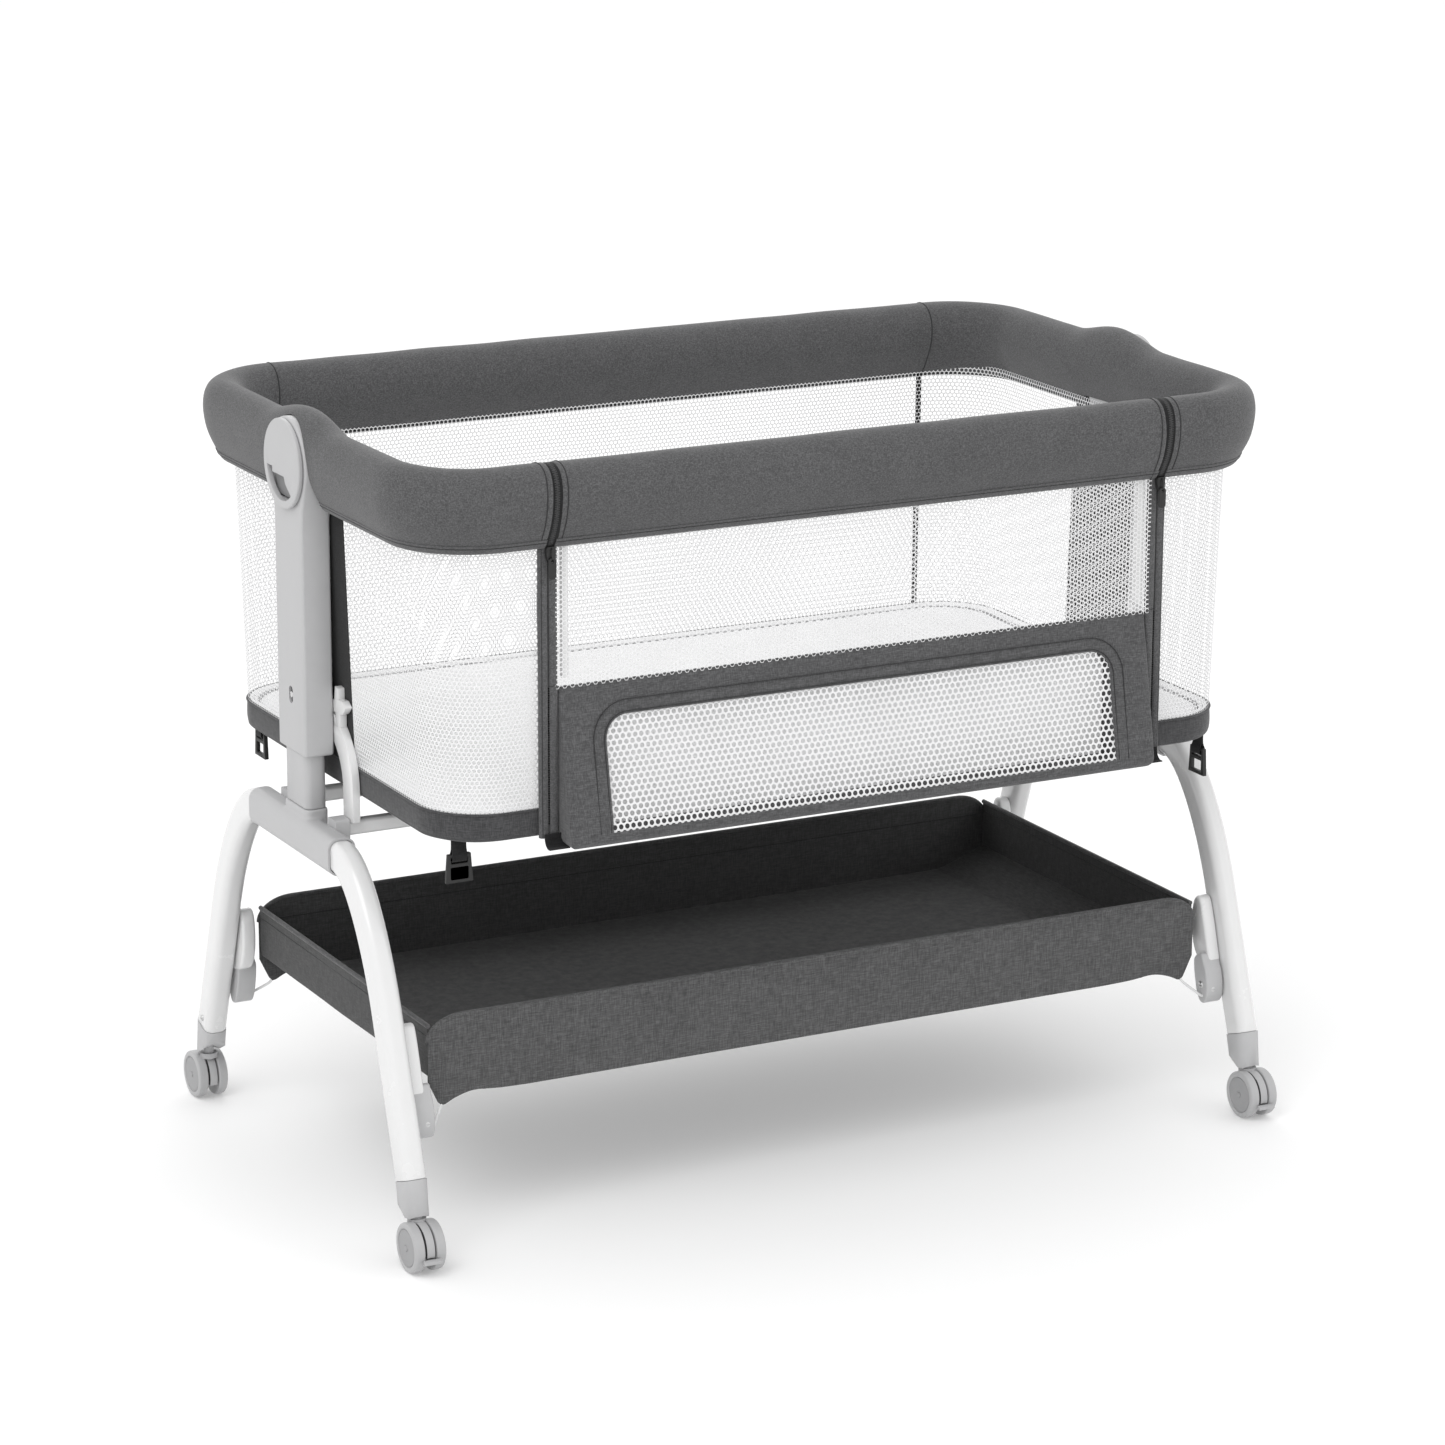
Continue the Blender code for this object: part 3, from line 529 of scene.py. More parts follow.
def hump(x, y):
    """The rim rises over each hub, at the middle of the two ends."""
    rise = RIM_HUMP * np.clip(1 - (np.asarray(y) / HUMP_WIDTH) ** 2, 0, None) ** 2
    return np.where(np.abs(x) < RIM_INNER[0] - RIM_INNER[2], 0.0, rise)


def between(share):
    """Half length, half width and corner of the outline at a share of the way across the rim."""
    return tuple(start + (end - start) * share for start, end in zip(RIM_INNER, RIM_OUTER))


RIM_SECTION = ((0.50, RIM_HEM), (0.62, RIM_HEM), (0.90, 0.664), (1.00, 0.683), (0.99, 0.698), (0.88, 0.709),
               (0.68, 0.7145), (0.45, RIM_TOP), (0.22, 0.711), (0.06, 0.702), (0.00, 0.689), (0.06, 0.674),
               (0.30, 0.654))


def rim_section():
    return smooth_path(RIM_SECTION, 4, closed=True)


def rim_loops(section, start_x):
    """One loop for each station of the rim's plan."""
    columns = []
    for share, height in section:
        plan = bed_plan(*between(share), start_x)
        lift = max(0.0, (height - RIM_HEM) / (RIM_TOP - RIM_HEM))
        columns.append(np.column_stack((plan, height + lift * hump(plan[:, 0], plan[:, 1]))))
    return np.array(columns).transpose(1, 0, 2)


def front_loops(section, stations):
    """One loop of the section, as (share across the rim, height), at each x of the drop side."""
    return [[(x, -(RIM_INNER[1] + RIM_DEPTH * share), height) for share, height in section] for x in stations]


def rumpled(points, amount, per_metre, seed):
    """Moves each point along a slow noise, as stuffing does under cloth."""
    out = np.array(points, float)
    shape = out.shape
    out = out.reshape(-1, 3)
    for index, point in enumerate(out):
        turn = noise.noise_vector(Vector(point) * per_metre + Vector((seed, 0, 0)))
        out[index] = point + amount * np.array(turn)
    return out.reshape(shape)


def stuffed(points):
    """The rim's own slow noise, which its seams follow."""
    return rumpled(points, 0.0007, 16.0, 3.0)


# Padded rim


def make_rim():
    start = ZIP_X + ZIP_HALF_GAP
    loops = stuffed(rim_loops(rim_section(), start))
    rim = loft("rim_padding", loops, RIM_CLOTH, sharp=0.9)
    for side, sign in SIDES:
        ends = sorted((sign * (SLEEVE_X[0] - 0.0006), sign * 0.470))
        reach = HUB_RADIUS + 0.0008
        outline = [(reach, 0.600), *arc((0, HUB_Z), reach, 0, pi, 48), (-reach, 0.600)]
        combined(rim, prism("recess", outline, 0, *ends), "DIFFERENCE", 0.9)
    bevelled(rim, 0.0012, 2, 0.9, 0.9)
    finished(rim, "bassinet", "grey_fabric", "rim_cover")
    make_binding(start)
    for side, sign in SIDES:
        make_rim_seam(side, sign)


def strip_section(points, thickness):
    """A thin closed band from an open line in section: out along one face and back along the other."""
    points = np.array(points, float)
    run = np.gradient(points, axis=0)
    normal = np.column_stack((run[:, 1], -run[:, 0]))
    normal /= np.linalg.norm(normal, axis=1)[:, None]
    outer, inner = points + normal * thickness, points - normal * thickness * 0.5
    return np.vstack((outer, inner[::-1]))


def hem_section():
    """The binding tape round the rim's lower edge, as (share across the rim, height)."""
    lower = [(share * RIM_DEPTH, height) for share, height in RIM_SECTION[1:4]]
    path = smooth_path([(0.46 * RIM_DEPTH, RIM_HEM - 0.0006), *lower], 8)
    return [(across / RIM_DEPTH, height) for across, height in strip_section(path[:12], 0.0007)]


STITCHED = 10


def make_binding(start):
    """The tape round the hem, open at the two hubs, with its stitches along one point of its section."""
    loops = rim_loops(hem_section(), start)
    keep = [np.abs(loop[:, 1]).min() > HUB_RADIUS + 0.001 or abs(loop[0, 0]) < 0.35 for loop in loops]
    runs, current = [], []
    for loop, kept in zip(loops, keep):
        if kept:
            current.append(loop)
        elif current:
            runs.append(current)
            current = []
    runs.append(current)
    for number, run in enumerate(runs):
        loft("rim_binding_%d" % number, run, RIM_CLOTH, "bassinet")
        stitches("rim_stitch_%d" % number, [loop[STITCHED] for loop in run])


def make_rim_seam(side, sign):
    """The seam that joins an end of the rim to its back."""
    across = RIM_INNER[0] - RIM_INNER[2]
    path = [(sign * across, between(share)[1], height) for share, height in rim_section()]
    stitches("rim_seam_" + side, stuffed(path), radius=0.0007, closed=True)


def make_drop_rail():
    half = ZIP_X - ZIP_HALF_GAP
    stations = np.linspace(-half, half, 120)
    rail = loft("drop_rail_padding", stuffed(front_loops(rim_section(), stations)), RIM_CLOTH, sharp=0.9)
    bevelled(rail, 0.0015, 2, 0.9, 0.9)
    finished(rail, "drop_side", "grey_fabric", "drop_rail_cover")
    loops = front_loops(hem_section(), stations)
    loft("drop_binding", loops, RIM_CLOTH, "drop_side")
    stitches("drop_stitch", [loop[STITCHED] for loop in loops], "drop_side")


# Nets


def net(name, surface, across, up, body, pitch=WALL_PITCH, hole=WALL_HOLE, corners=6, inside=None):
    """A sheet with a hexagonal grid of holes. surface turns (across, up) in metres into points in space."""
    rise = pitch * sqrt(3) / 2
    rows, columns = int(up / rise) + 2, int(across / pitch) + 2
    row, column = np.meshgrid(np.arange(rows), np.arange(columns), indexing="ij")
    u = (column + 0.5 * (row % 2)).ravel() * pitch
    v = row.ravel() * rise
    kept = (u <= across + 0.01 * pitch) & (v <= up + 0.01 * rise)
    if inside is not None:
        kept &= inside(u, v)
    u, v = u[kept], v[kept]
    angles = pi / 6 + np.arange(6) * pi / 3
    outer_u = u[:, None] + pitch / sqrt(3) * np.cos(angles)
    outer_v = v[:, None] + pitch / sqrt(3) * np.sin(angles)
    places = (np.round(outer_u / (pitch / 2)), np.round(outer_v / (pitch / sqrt(3) / 2)))
    keys = np.stack(places, -1).reshape(-1, 2)
    _, first, shared = np.unique(keys, axis=0, return_index=True, return_inverse=True)
    points = [np.column_stack((outer_u.ravel()[first], outer_v.ravel()[first]))]
    shared = shared.reshape(-1, 6)
    fine = pi / 6 + np.arange(corners) * 2 * pi / corners
    inner_u = u[:, None] + hole / 2 * np.cos(fine)
    inner_v = v[:, None] + hole / 2 * np.sin(fine)
    points.append(np.column_stack((inner_u.ravel(), inner_v.ravel())))
    base = len(points[0]) + np.arange(len(u))[:, None] * corners
    per = corners // 6
    faces = []
    for k in range(6):
        after = (k + 1) % 6
        inner = [base[:, 0] + (k * per + step) % corners for step in range(per + 1)]
        ring = [shared[:, k], shared[:, after], *inner[::-1]]
        faces += np.stack(ring, axis=1).tolist()
    flat = np.vstack(points)
    return piece(name, surface(flat[:, 0], flat[:, 1]), faces, NET, body, closed=False)


def wall_surface():
    """Returns the walls' total run in plan and a function from (run, height share) to a point."""
    top = bed_plan(*WALL_TOP, ZIP_X)
    bottom = bed_plan(*WALL_BOTTOM, ZIP_X)
    steps = np.linalg.norm(np.diff((top + bottom) / 2, axis=0), axis=1)
    run = np.concatenate(([0], np.cumsum(steps)))

    def point(u, v):
        share = np.clip((v - BASE_TOP) / (RIM_HEM - BASE_TOP), -0.1, 1.1)
        out = []
        for axis in (0, 1):
            at_top, at_bottom = np.interp(u, run, top[:, axis]), np.interp(u, run, bottom[:, axis])
            out.append(at_bottom + (at_top - at_bottom) * share)
        return np.column_stack((*out, v))

    return run, top, point


def make_walls():
    run, top, point = wall_surface()
    foot = BASE_TOP - 0.003
    rise = RIM_HEM + 0.010 - foot
    corner_x = WALL_TOP[0] - WALL_TOP[2]
    left_end = run[np.argmax((top[:, 1] > 0) & (top[:, 0] >= -corner_x - 1e-6))]
    stretches = (("left", 0.0040, left_end), ("back", left_end, run[-1] - left_end),
                 ("right", run[-1] - left_end, run[-1] - 0.0040))
    for side, start, end in stretches:
        width = end - start
        wall = net("net_" + side, lambda u, v: point(start + u, foot + v), width, rise, "bassinet")
        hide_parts("mesh_wall_" + side)
    for side, place in (("left", left_end), ("right", run[-1] - left_end)):
        make_corner_seam(side, place, point, foot, rise)


def make_corner_seam(side, place, point, foot, rise):
    """The dark tape behind the net where an end's net is stitched to the back's. It shows through the holes."""
    heights = np.linspace(foot, foot + rise, 30)
    edges = [point(np.full(30, place + shift), heights) for shift in (-0.0030, 0.0030)]
    near, far = np.array([0, 0.0006, 0]), np.array([0, 0.0014, 0])
    rows = [[a + near, b + near, b + far, a + far] for a, b in zip(*edges)]
    loft("net_seam_" + side, rows, BLACK_CLOTH, "bassinet")


def make_drop_net():
    half = FLAP_INNER + 0.0012
    foot, rise = HINGE_Z - 0.001, RIM_HEM + 0.004 - HINGE_Z

    def surface(v, u):
        return np.column_stack((u - half, np.full(len(u), DROP_NET_Y), foot + v))

    made = net("net_drop", surface, rise, 2 * half, "drop_side")
    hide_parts("drop_mesh")


# Lower front panel


def panel_front(height):
    """Where the panel's slanting face is at a height."""
    top, foot = (-0.2570, PANEL_TOP), (-PANEL_OUT, PANEL_ROLL_Z)
    share = (height - foot[1]) / (top[1] - foot[1])
    return foot[0] + (top[0] - foot[0]) * share


def window_outline(grow=0.0, foot=None):
    """The window in the panel: round upper corners and a straight lower edge."""
    half, top, corner = WINDOW_HALF + grow, WINDOW_Z[1] + grow, WINDOW_CORNER + grow
    foot = WINDOW_Z[0] if foot is None else foot
    points = [(-half, foot), *arc((-half + corner, top - corner), corner, pi, pi / 2, 12)]
    return points + [(-x, z) for x, z in reversed(points)]


def make_panel():
    half = PANEL_HALF
    back = -(WALL_BOTTOM[1] + GAP)
    outline = [(-0.2495, PANEL_TOP - 0.002), *arc((-0.2533, PANEL_TOP - 0.0032), 0.0032, pi / 2, pi, 4)]
    outline += line((-0.2575, PANEL_TOP - 0.008), (-PANEL_OUT + 0.0004, PANEL_ROLL_Z + 0.006), 12)
    outline += arc((-(PANEL_OUT - PANEL_ROLL_RADIUS), PANEL_ROLL_Z), PANEL_ROLL_RADIUS, -pi, -pi / 2, 8)
    outline += [(back, PANEL_ROLL_Z - PANEL_ROLL_RADIUS), (back, BASE_TOP)]
    lowest = PANEL_ROLL_Z - PANEL_ROLL_RADIUS
    ends = half - 0.012 * (1 - np.cos(np.linspace(0, pi / 2, 14)))
    stations = [*-ends, *np.linspace(-ends[-1], ends[-1], 80)[1:-1], *ends[::-1]]
    loops = []
    for x in stations:
        edge = min(1.0, (half - abs(x)) / 0.006)
        pull = 0.0025 * (1 - sqrt(max(0.0, 1 - (1 - edge) ** 2)))
        round_off = 0.009 - sqrt(max(0.0, 0.009**2 - max(0.0, abs(x) - half + 0.009) ** 2))
        foot = min(0.400, lowest + round_off)
        loops.append([(x, min(y + pull, back) if y < back - 0.002 else y, max(z, foot)) for y, z in outline])
    panel = loft("panel_padding", loops, (PANEL_CLOTH, TICKING))
    recess = prism("recess", window_outline(), 1, -0.30, -0.2512)
    combined(panel, recess, "DIFFERENCE")
    bevelled(panel, 0.0008, 2, 0.9)
    repaint(panel, PANEL_CLOTH, TICKING)
    for face in panel.data.polygons:
        spot = face.center
        face.material_index = int(
            spot.y > -0.2514 and face.normal.y < -0.8 and WINDOW_Z[0] < spot.z < WINDOW_Z[1]
            and abs(spot.x) < WINDOW_HALF
        )
    finished(panel, "bassinet", "grey_fabric", "front_panel")
    make_window_net()
    for name, grow in (("inner", 0.0022), ("outer", 0.0125)):
        path = [(x, panel_front(z) - 0.0002, z) for x, z in window_outline(grow, WINDOW_Z[0] + 0.0005)]
        stitches("panel_stitch_" + name, path)


def make_window_net():
    foot = WINDOW_Z[0] - 0.001
    rise = WINDOW_Z[1] - foot + 0.001
    half = WINDOW_HALF + 0.001
    corner = WINDOW_CORNER + 0.001

    def surface(u, v):
        height = foot + v
        sag = 0.0016 * np.sin(np.clip(v / rise, 0, 1) * pi)
        return np.column_stack((u - half, panel_front(height) + 0.0014 + sag, height))

    def inside(u, v):
        across, upward = np.abs(u - half) - (half - corner), v - (rise - corner)
        return ~((across > 0) & (upward > 0) & (across**2 + upward**2 > corner**2))

    made = net("net_window", surface, 2 * half, rise, "bassinet", WINDOW_PITCH, WINDOW_HOLE, 12, inside)


# Zips


def zip_path(first, last, recess):
    """The zip's line over the rim, from its inner foot over the top to the hem, as (y, z)."""
    points = [(-(RIM_INNER[1] + RIM_DEPTH * share), height) for share, height in rim_section()]
    middle = np.array([-(RIM_INNER[1] + RIM_DEPTH * 0.5), 0.682])
    inward = [(middle - spot) / np.linalg.norm(middle - spot) for spot in points[first:last]]
    return [np.array(spot) + way * recess for spot, way in zip(points[first:last], inward)]


def ribbon(name, path, across, thickness, looks, body):
    """A flat tape: path runs in the y-z plane and across is its pair of x values."""
    path = np.asarray(path, float)
    run = np.gradient(path, axis=0)
    normal = np.column_stack((-run[:, 1], run[:, 0]))
    normal /= np.linalg.norm(normal, axis=1)[:, None]
    rows = []
    for spot, away in zip(path, normal):
        up, down = spot + away * thickness / 2, spot - away * thickness / 2
        rows.append([(across[0], *up), (across[1], *up), (across[1], *down), (across[0], *down)])
    return loft(name, rows, looks, body)


def teeth(name, path, middle_x, way, body):
    """One side of a zip's chain: small rounded blocks at an even pitch. Blocks of the two sides alternate."""
    path = np.asarray(path, float)
    pitch = 0.0021
    steps = np.linalg.norm(np.diff(path, axis=0), axis=1)
    run = np.concatenate(([0], np.cumsum(steps)))
    places = np.arange(pitch * (0.5 if way > 0 else 1.0), run[-1] - pitch * 0.5, pitch)
    size = np.array([0.0030, 0.0013, 0.0010])
    points, faces = [], []
    for place in places:
        spot = np.array([np.interp(place, run, path[:, axis]) for axis in (0, 1)])
        ahead = np.array([np.interp(place + 0.0005, run, path[:, axis]) for axis in (0, 1)]) - spot
        ahead /= max(np.linalg.norm(ahead), 1e-9)
        away = np.array([-ahead[1], ahead[0]])
        start = len(points)
        for lift, shrink in ((-0.5, 1.0), (0.25, 1.0), (0.5, 0.7)):
            for a, b in ((-0.5, -0.5), (0.5, -0.5), (0.5, 0.5), (-0.5, 0.5)):
                flat = spot + ahead * b * size[1] * shrink + away * lift * size[2]
                points.append((middle_x + way * 0.0007 + a * size[0] * shrink, *flat))
        for ring in (start, start + 4):
            for k in range(4):
                after = (k + 1) % 4
                faces.append((ring + k, ring + after, ring + 4 + after, ring + 4 + k))
        faces += [(start + 3, start + 2, start + 1, start), (start + 8, start + 9, start + 10, start + 11)]
    return piece(name, points, faces, CHAIN, body)


def flap_section(start, end, depth):
    """A folded edge of cloth in plan: flat behind and rounded in front."""
    half, back = (end - start) / 2, -0.2530
    bulge = [(start + half + half * cos(angle), back - 0.0006 - depth * sin(angle) ** 0.6)
             for angle in np.linspace(0, pi, 9)]
    return [(start, back), (end, back), *bulge]


def make_zips():
    """Each zip closes the drop side to the bed.

    It is open over the rim. Below the rim it runs between two folded edges of cloth.
    """
    over = zip_path(0, len(rim_section()) - 2, 0.0008)[::-1]
    # The route of the painted shade lines along the rim beside each zip.
    shade_line_route = zip_path(2, len(rim_section()) - 6, -0.0001)
    down = [(SEAM_Y, height) for height in np.linspace(RIM_HEM - 0.004, HINGE_Z + 0.001, 12)]
    below = [(SEAM_Y, height) for height in np.linspace(HINGE_Z - 0.001, FLAP_FOOT + 0.010, 12)]
    chains = (("fixed_down", [*down, *below], 1, "bassinet"), ("drop_down", down, -1, "drop_side"),
              ("low_down", below, -1, "bassinet"))
    top, seam = RIM_HEM + 0.004, 0.0003
    flaps = (("fixed", SEAM_X + seam, FLAP_OUTER, FLAP_FOOT, top, "bassinet"),
             ("drop", FLAP_INNER, SEAM_X - seam, HINGE_Z + 0.0004, top, "drop_side"),
             ("low", FLAP_INNER, SEAM_X - seam, FLAP_FOOT, HINGE_Z - 0.0004, "bassinet"))
    for side, sign in SIDES:
        middle = sign * ZIP_X
        for name, way, body in (("fixed", 1, "bassinet"), ("drop", -1, "drop_side")):
            across = sorted((middle, middle + way * sign * (ZIP_HALF_GAP + 0.0012)))
            ribbon("zip_tape_%s_%s" % (name, side), over, across, 0.0006, BLACK_CLOTH, body)
            teeth("zip_teeth_%s_%s" % (name, side), over, middle, way * sign, body)
            # A dark thread on the rim on each side of the zip: a painted shade line.
            x = sign * (ZIP_X + way * (ZIP_HALF_GAP + 0.0052))
            path = stuffed([(x, *spot) for spot in shade_line_route])
            stitches("rim_zip_shade_line_%s_%s" % (name, side), path, body, 0.0006)
        for name, path, way, body in chains:
            teeth("zip_teeth_%s_%s" % (name, side), path, sign * SEAM_X, way * sign, body)
        for name, start, end, foot, highest, body in flaps:
            rows = [[(sign * x, y, height) for x, y in flap_section(start, end, FLAP_DEPTH)]
                    for height in np.linspace(foot, highest, 24)]
            rows = rumpled(rows, 0.0003, 40.0, 7.0)
            loft("zip_flap_%s_%s" % (name, side), rows, RIM_CLOTH, body)
        stitches("zip_stitch_" + side, [(sign * (FLAP_OUTER - 0.0021), -0.2538 - FLAP_DEPTH * 0.82, height)
                                        for height in np.linspace(FLAP_FOOT + 0.001, RIM_HEM, 30)])
        make_slider(side, sign)
        hook = [(-0.2585, FLAP_FOOT + 0.004), (-0.2600, FLAP_FOOT - 0.003), (-0.2640, FLAP_FOOT - 0.007),
                (-0.2690, FLAP_FOOT - 0.0075)]
        across = sorted((sign * (FLAP_OUTER - 0.0030), sign * (FLAP_INNER - 0.0050)))
        hook = smooth_path(hook, 5)
        ribbon("panel_tab_" + side, hook, across, 0.0010, BLACK_CLOTH, "bassinet")


def make_slider(side, sign):
    """The slider with its bridge and hanging pull."""
    x = sign * ZIP_X
    lowest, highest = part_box("zip_slider_" + side)
    outline = [(x - 0.0040, highest.z), (x + 0.0040, highest.z), (x + 0.0040, highest.z - 0.007),
               (x + 0.0024, lowest.z + 0.007), (x - 0.0024, lowest.z + 0.007), (x - 0.0040, highest.z - 0.007)]
    body = prism("zip_body_" + side, outline, 1, lowest.y, highest.y - 0.0008, BLACK)
    bevelled(body, 0.0006, 2)
    bridge = [(lowest.y + 0.0006, highest.z - 0.0015), (lowest.y - 0.0020, highest.z - 0.003),
              (lowest.y - 0.0022, lowest.z + 0.011), (lowest.y + 0.0006, lowest.z + 0.009)]
    bridge = [(x, y, z) for y, z in smooth_path(bridge, 5)]
    hoop = tube("zip_bridge_" + side, bridge, 0.0008, BLACK, None)
    hold = round_outline((x, lowest.z + 0.0015), (0.0072, 0.0190), 0.0030)
    pull = prism("zip_pull_" + side, hold, 1, lowest.y - 0.0022, lowest.y - 0.0006, BLACK)
    hole = round_outline((x, lowest.z + 0.0080), (0.0026, 0.0030), 0.0012)
    combined(pull, prism("hole", hole, 1, lowest.y - 0.01, lowest.y + 0.01), "DIFFERENCE")
    bevelled(pull, 0.0003, 2)
    whole = joined("zip_slider_fine_" + side, [body, hoop, pull])
    finished(whole, "zip_" + side, "black_plastic", "zip_slider_" + side)


# Base, end panels and mattress


def make_base():
    half_x, half_y, corner = WALL_BOTTOM
    profile = [(-0.006, 0.3865), (-0.006, 0.4030), (-0.0040, 0.4060), (-0.0010, 0.4066), (0.0006, 0.4050),
               (0.0011, 0.4000), (0.0013, 0.3930), (0.0009, 0.3870), (-0.0005, 0.3825), (-0.0035, 0.3803),
               (-0.0120, 0.3796)]
    loops = []
    for away, height in smooth_path(profile, 3):
        size = (2 * (half_x + away), 2 * (half_y + away))
        loops.append([(x, y, height) for x, y in round_outline((0, 0), size, corner + away, 24)])
    base = loft("base_cover", rumpled(loops, 0.0004, 30.0, 5.0), (STRIP_CLOTH, TICKING))
    for face in base.data.polygons:
        reach = max(abs(face.center.x) - half_x, abs(face.center.y) - half_y)
        near_corner = abs(face.center.x) > half_x - corner and abs(face.center.y) > half_y - corner
        if near_corner:
            past = (abs(face.center.x) - half_x + corner, abs(face.center.y) - half_y + corner)
            reach = sqrt(past[0] ** 2 + past[1] ** 2) - corner
        face.material_index = int(reach < -0.0022 and face.center.z > 0.386)
    finished(base, "bassinet", "dark_fabric", "base_tray")
    for name, away, height, radius in (("top", 0.0008, 0.4056, 0.0011), ("foot", -0.0006, 0.3832, 0.0007)):
        size = (2 * (half_x + away), 2 * (half_y + away))
        ring = [(x, y, height) for x, y in round_outline((0, 0), size, corner + away, 24)]
        ring = [spot for spot in ring if not (abs(spot[0]) < DROP_HALF and spot[1] < 0)]
        ring += [(sign * (DROP_HALF + 0.001), -(half_y + away), height) for _, sign in SIDES]
        ring.sort(key=angle_from_drop_side)
        tube("base_piping_" + name, ring, radius, STRIP_CLOTH, "bassinet", 8)


def angle_from_drop_side(spot):
    """The angle in plan from the middle of the drop side, anticlockwise."""
    return (atan2(spot[1], spot[0]) + pi / 2 + 1e-6) % (2 * pi)


def make_end_panels():
    """The black panel that stiffens each end, behind the post."""
    for side, sign in SIDES:
        rows = []
        for share in np.linspace(0, 1, 12):
            height = BASE_TOP - 0.002 + share * (RIM_HEM + 0.004 - BASE_TOP)
            out = WALL_BOTTOM[0] + (WALL_TOP[0] - WALL_BOTTOM[0]) * share
            outer, inner = sign * (out + 0.0007), sign * (out + 0.0001)
            corners = ((outer, -1), (outer, 1), (inner, 1), (inner, -1))
            rows.append([(x, way * END_PANEL_HALF, height) for x, way in corners])
        panel = loft("end_panel_" + side, rows, BLACK_CLOTH, "bassinet")


def make_mattress():
    """A thin pad that air pressure rounds at its edges."""
    half_x, half_y, corner = WALL_BOTTOM
    floor = low("mattress").z
    margin = 0.0062
    loops = []
    for inset, height in ((0.004, floor + 0.0015), (0.0, floor + 0.006), (0.0, MATTRESS_TOP - 0.008),
                          (0.004, MATTRESS_TOP - 0.0035)):
        size = (2 * half_x - 2 * margin - 2 * inset, 2 * half_y - 2 * margin - 2 * inset)
        loops.append([(x, y, height) for x, y in round_outline((0, 0), size, corner - margin - inset, 8)])
    pad = loft("mattress_pad", loops, TICKING)
    swell(pad, 0.0070, 0.0022, floor + 0.0004)
    finished(pad, "bassinet", "white_fabric", "mattress")
    edge = round_outline((0, 0), (2 * half_x - 0.0150, 2 * half_y - 0.0150), corner - 0.0075, 16)
    path = [(x, y, MATTRESS_TOP - 0.0045) for x, y in edge]
    tube("mattress_piping", path, 0.0014, TICKING, "bassinet", 8, True)


def swell(made, voxel, cap, floor):
    """Cloth under air pressure, for 20 frames. No point moves more than cap or goes below floor."""
    voxelled(made, voxel)
    start = np.array([vertex.co for vertex in made.data.vertices], float)
    cloth = made.modifiers.new("cloth", "CLOTH")
    cloth.settings.use_pressure = True
    cloth.settings.uniform_pressure_force = 4.0
    cloth.settings.effector_weights.gravity = 0.0
    cloth.settings.quality = 4
    cloth.point_cache.frame_start, cloth.point_cache.frame_end = 1, 20
    for number in range(1, 21):
        bpy.context.scene.frame_set(number)
    baked(made)
    bpy.context.scene.frame_set(1)
    end = np.array([vertex.co for vertex in made.data.vertices], float)
    move = end - start
    length = np.linalg.norm(move, axis=1)[:, None]
    end = start + move * np.minimum(1, cap / np.maximum(length, 1e-9))
    end[:, 2] = np.maximum(end[:, 2], floor)
    made.data.vertices.foreach_set("co", end.astype(np.float32).ravel())
    made.data.update()
    rounder = made.modifiers.new("round", "SUBSURF")
    rounder.levels = rounder.render_levels = 1
    baked(made, 1.2)


# Stand


def leg_path():
    """A leg's middle line as (distance from the bed's middle, height), and its direction below the knee."""
    knee, foot = LEG_KNEE, LEG_FOOT
    length = sqrt((foot[0] - knee[0]) ** 2 + (foot[1] - knee[1]) ** 2)
    down = ((foot[0] - knee[0]) / length, (foot[1] - knee[1]) / length)
    pull = 0.060
    above_knee = (knee[0] - down[0] * pull, knee[1] - down[1] * pull)
    handles = [np.array(spot) for spot in ((TEE_HALF + 0.0005, TEE_Z), (0.130, TEE_Z), above_knee, knee)]
    bend = []
    for t in np.linspace(0, 1, 40):
        weights = ((1 - t) ** 3, 3 * t * (1 - t) ** 2, 3 * t * t * (1 - t), t**3)
        bend.append(sum(weight * spot for weight, spot in zip(weights, handles)))
    last = np.array((foot[0] - down[0] * CAP_LENGTH, foot[1] - down[1] * CAP_LENGTH))
    socket = [(TEE_HALF - SOCKET_DEPTH, TEE_Z), (TEE_HALF - 0.001, TEE_Z)]
    return [*socket, *bend, *line(np.array(knee) + (last - knee) / 12, last, 11), last], down


def make_legs():
    path, down = leg_path()
    section = round_outline((0, 0), LEG_SIZE, LEG_CORNER, 8)
    for place, sign_x, sign_y in CORNERS:
        loops = []
        for index, (out, height) in enumerate(path):
            before, after = path[max(index - 1, 0)], path[min(index + 1, len(path) - 1)]
            run = Vector((after[0] - before[0], after[1] - before[1])).normalized()
            side = (-run[1], run[0])
            loops.append([(sign_x * (LEG_X + across), sign_y * (out + up * side[0]), height + up * side[1])
                          for across, up in section])
        leg = loft("leg_tube_" + place, loops, PAINT)
        bevelled(leg, 0.0006, 2, 1.0)
        finished(leg, "stand", "white_paint", "leg_" + place)
        refined("leg_cap_" + place, GREY, "grey_plastic", 0.0009, 3, 0.8)
        if sign_y > 0:
            spot = (sign_x * (LEG_X + LEG_SIZE[0] / 2), *(Vector(LEG_FOOT) - Vector(down) * 0.030))
            make_screw("leg_screw_" + place, spot, sign_x, 0.0030)


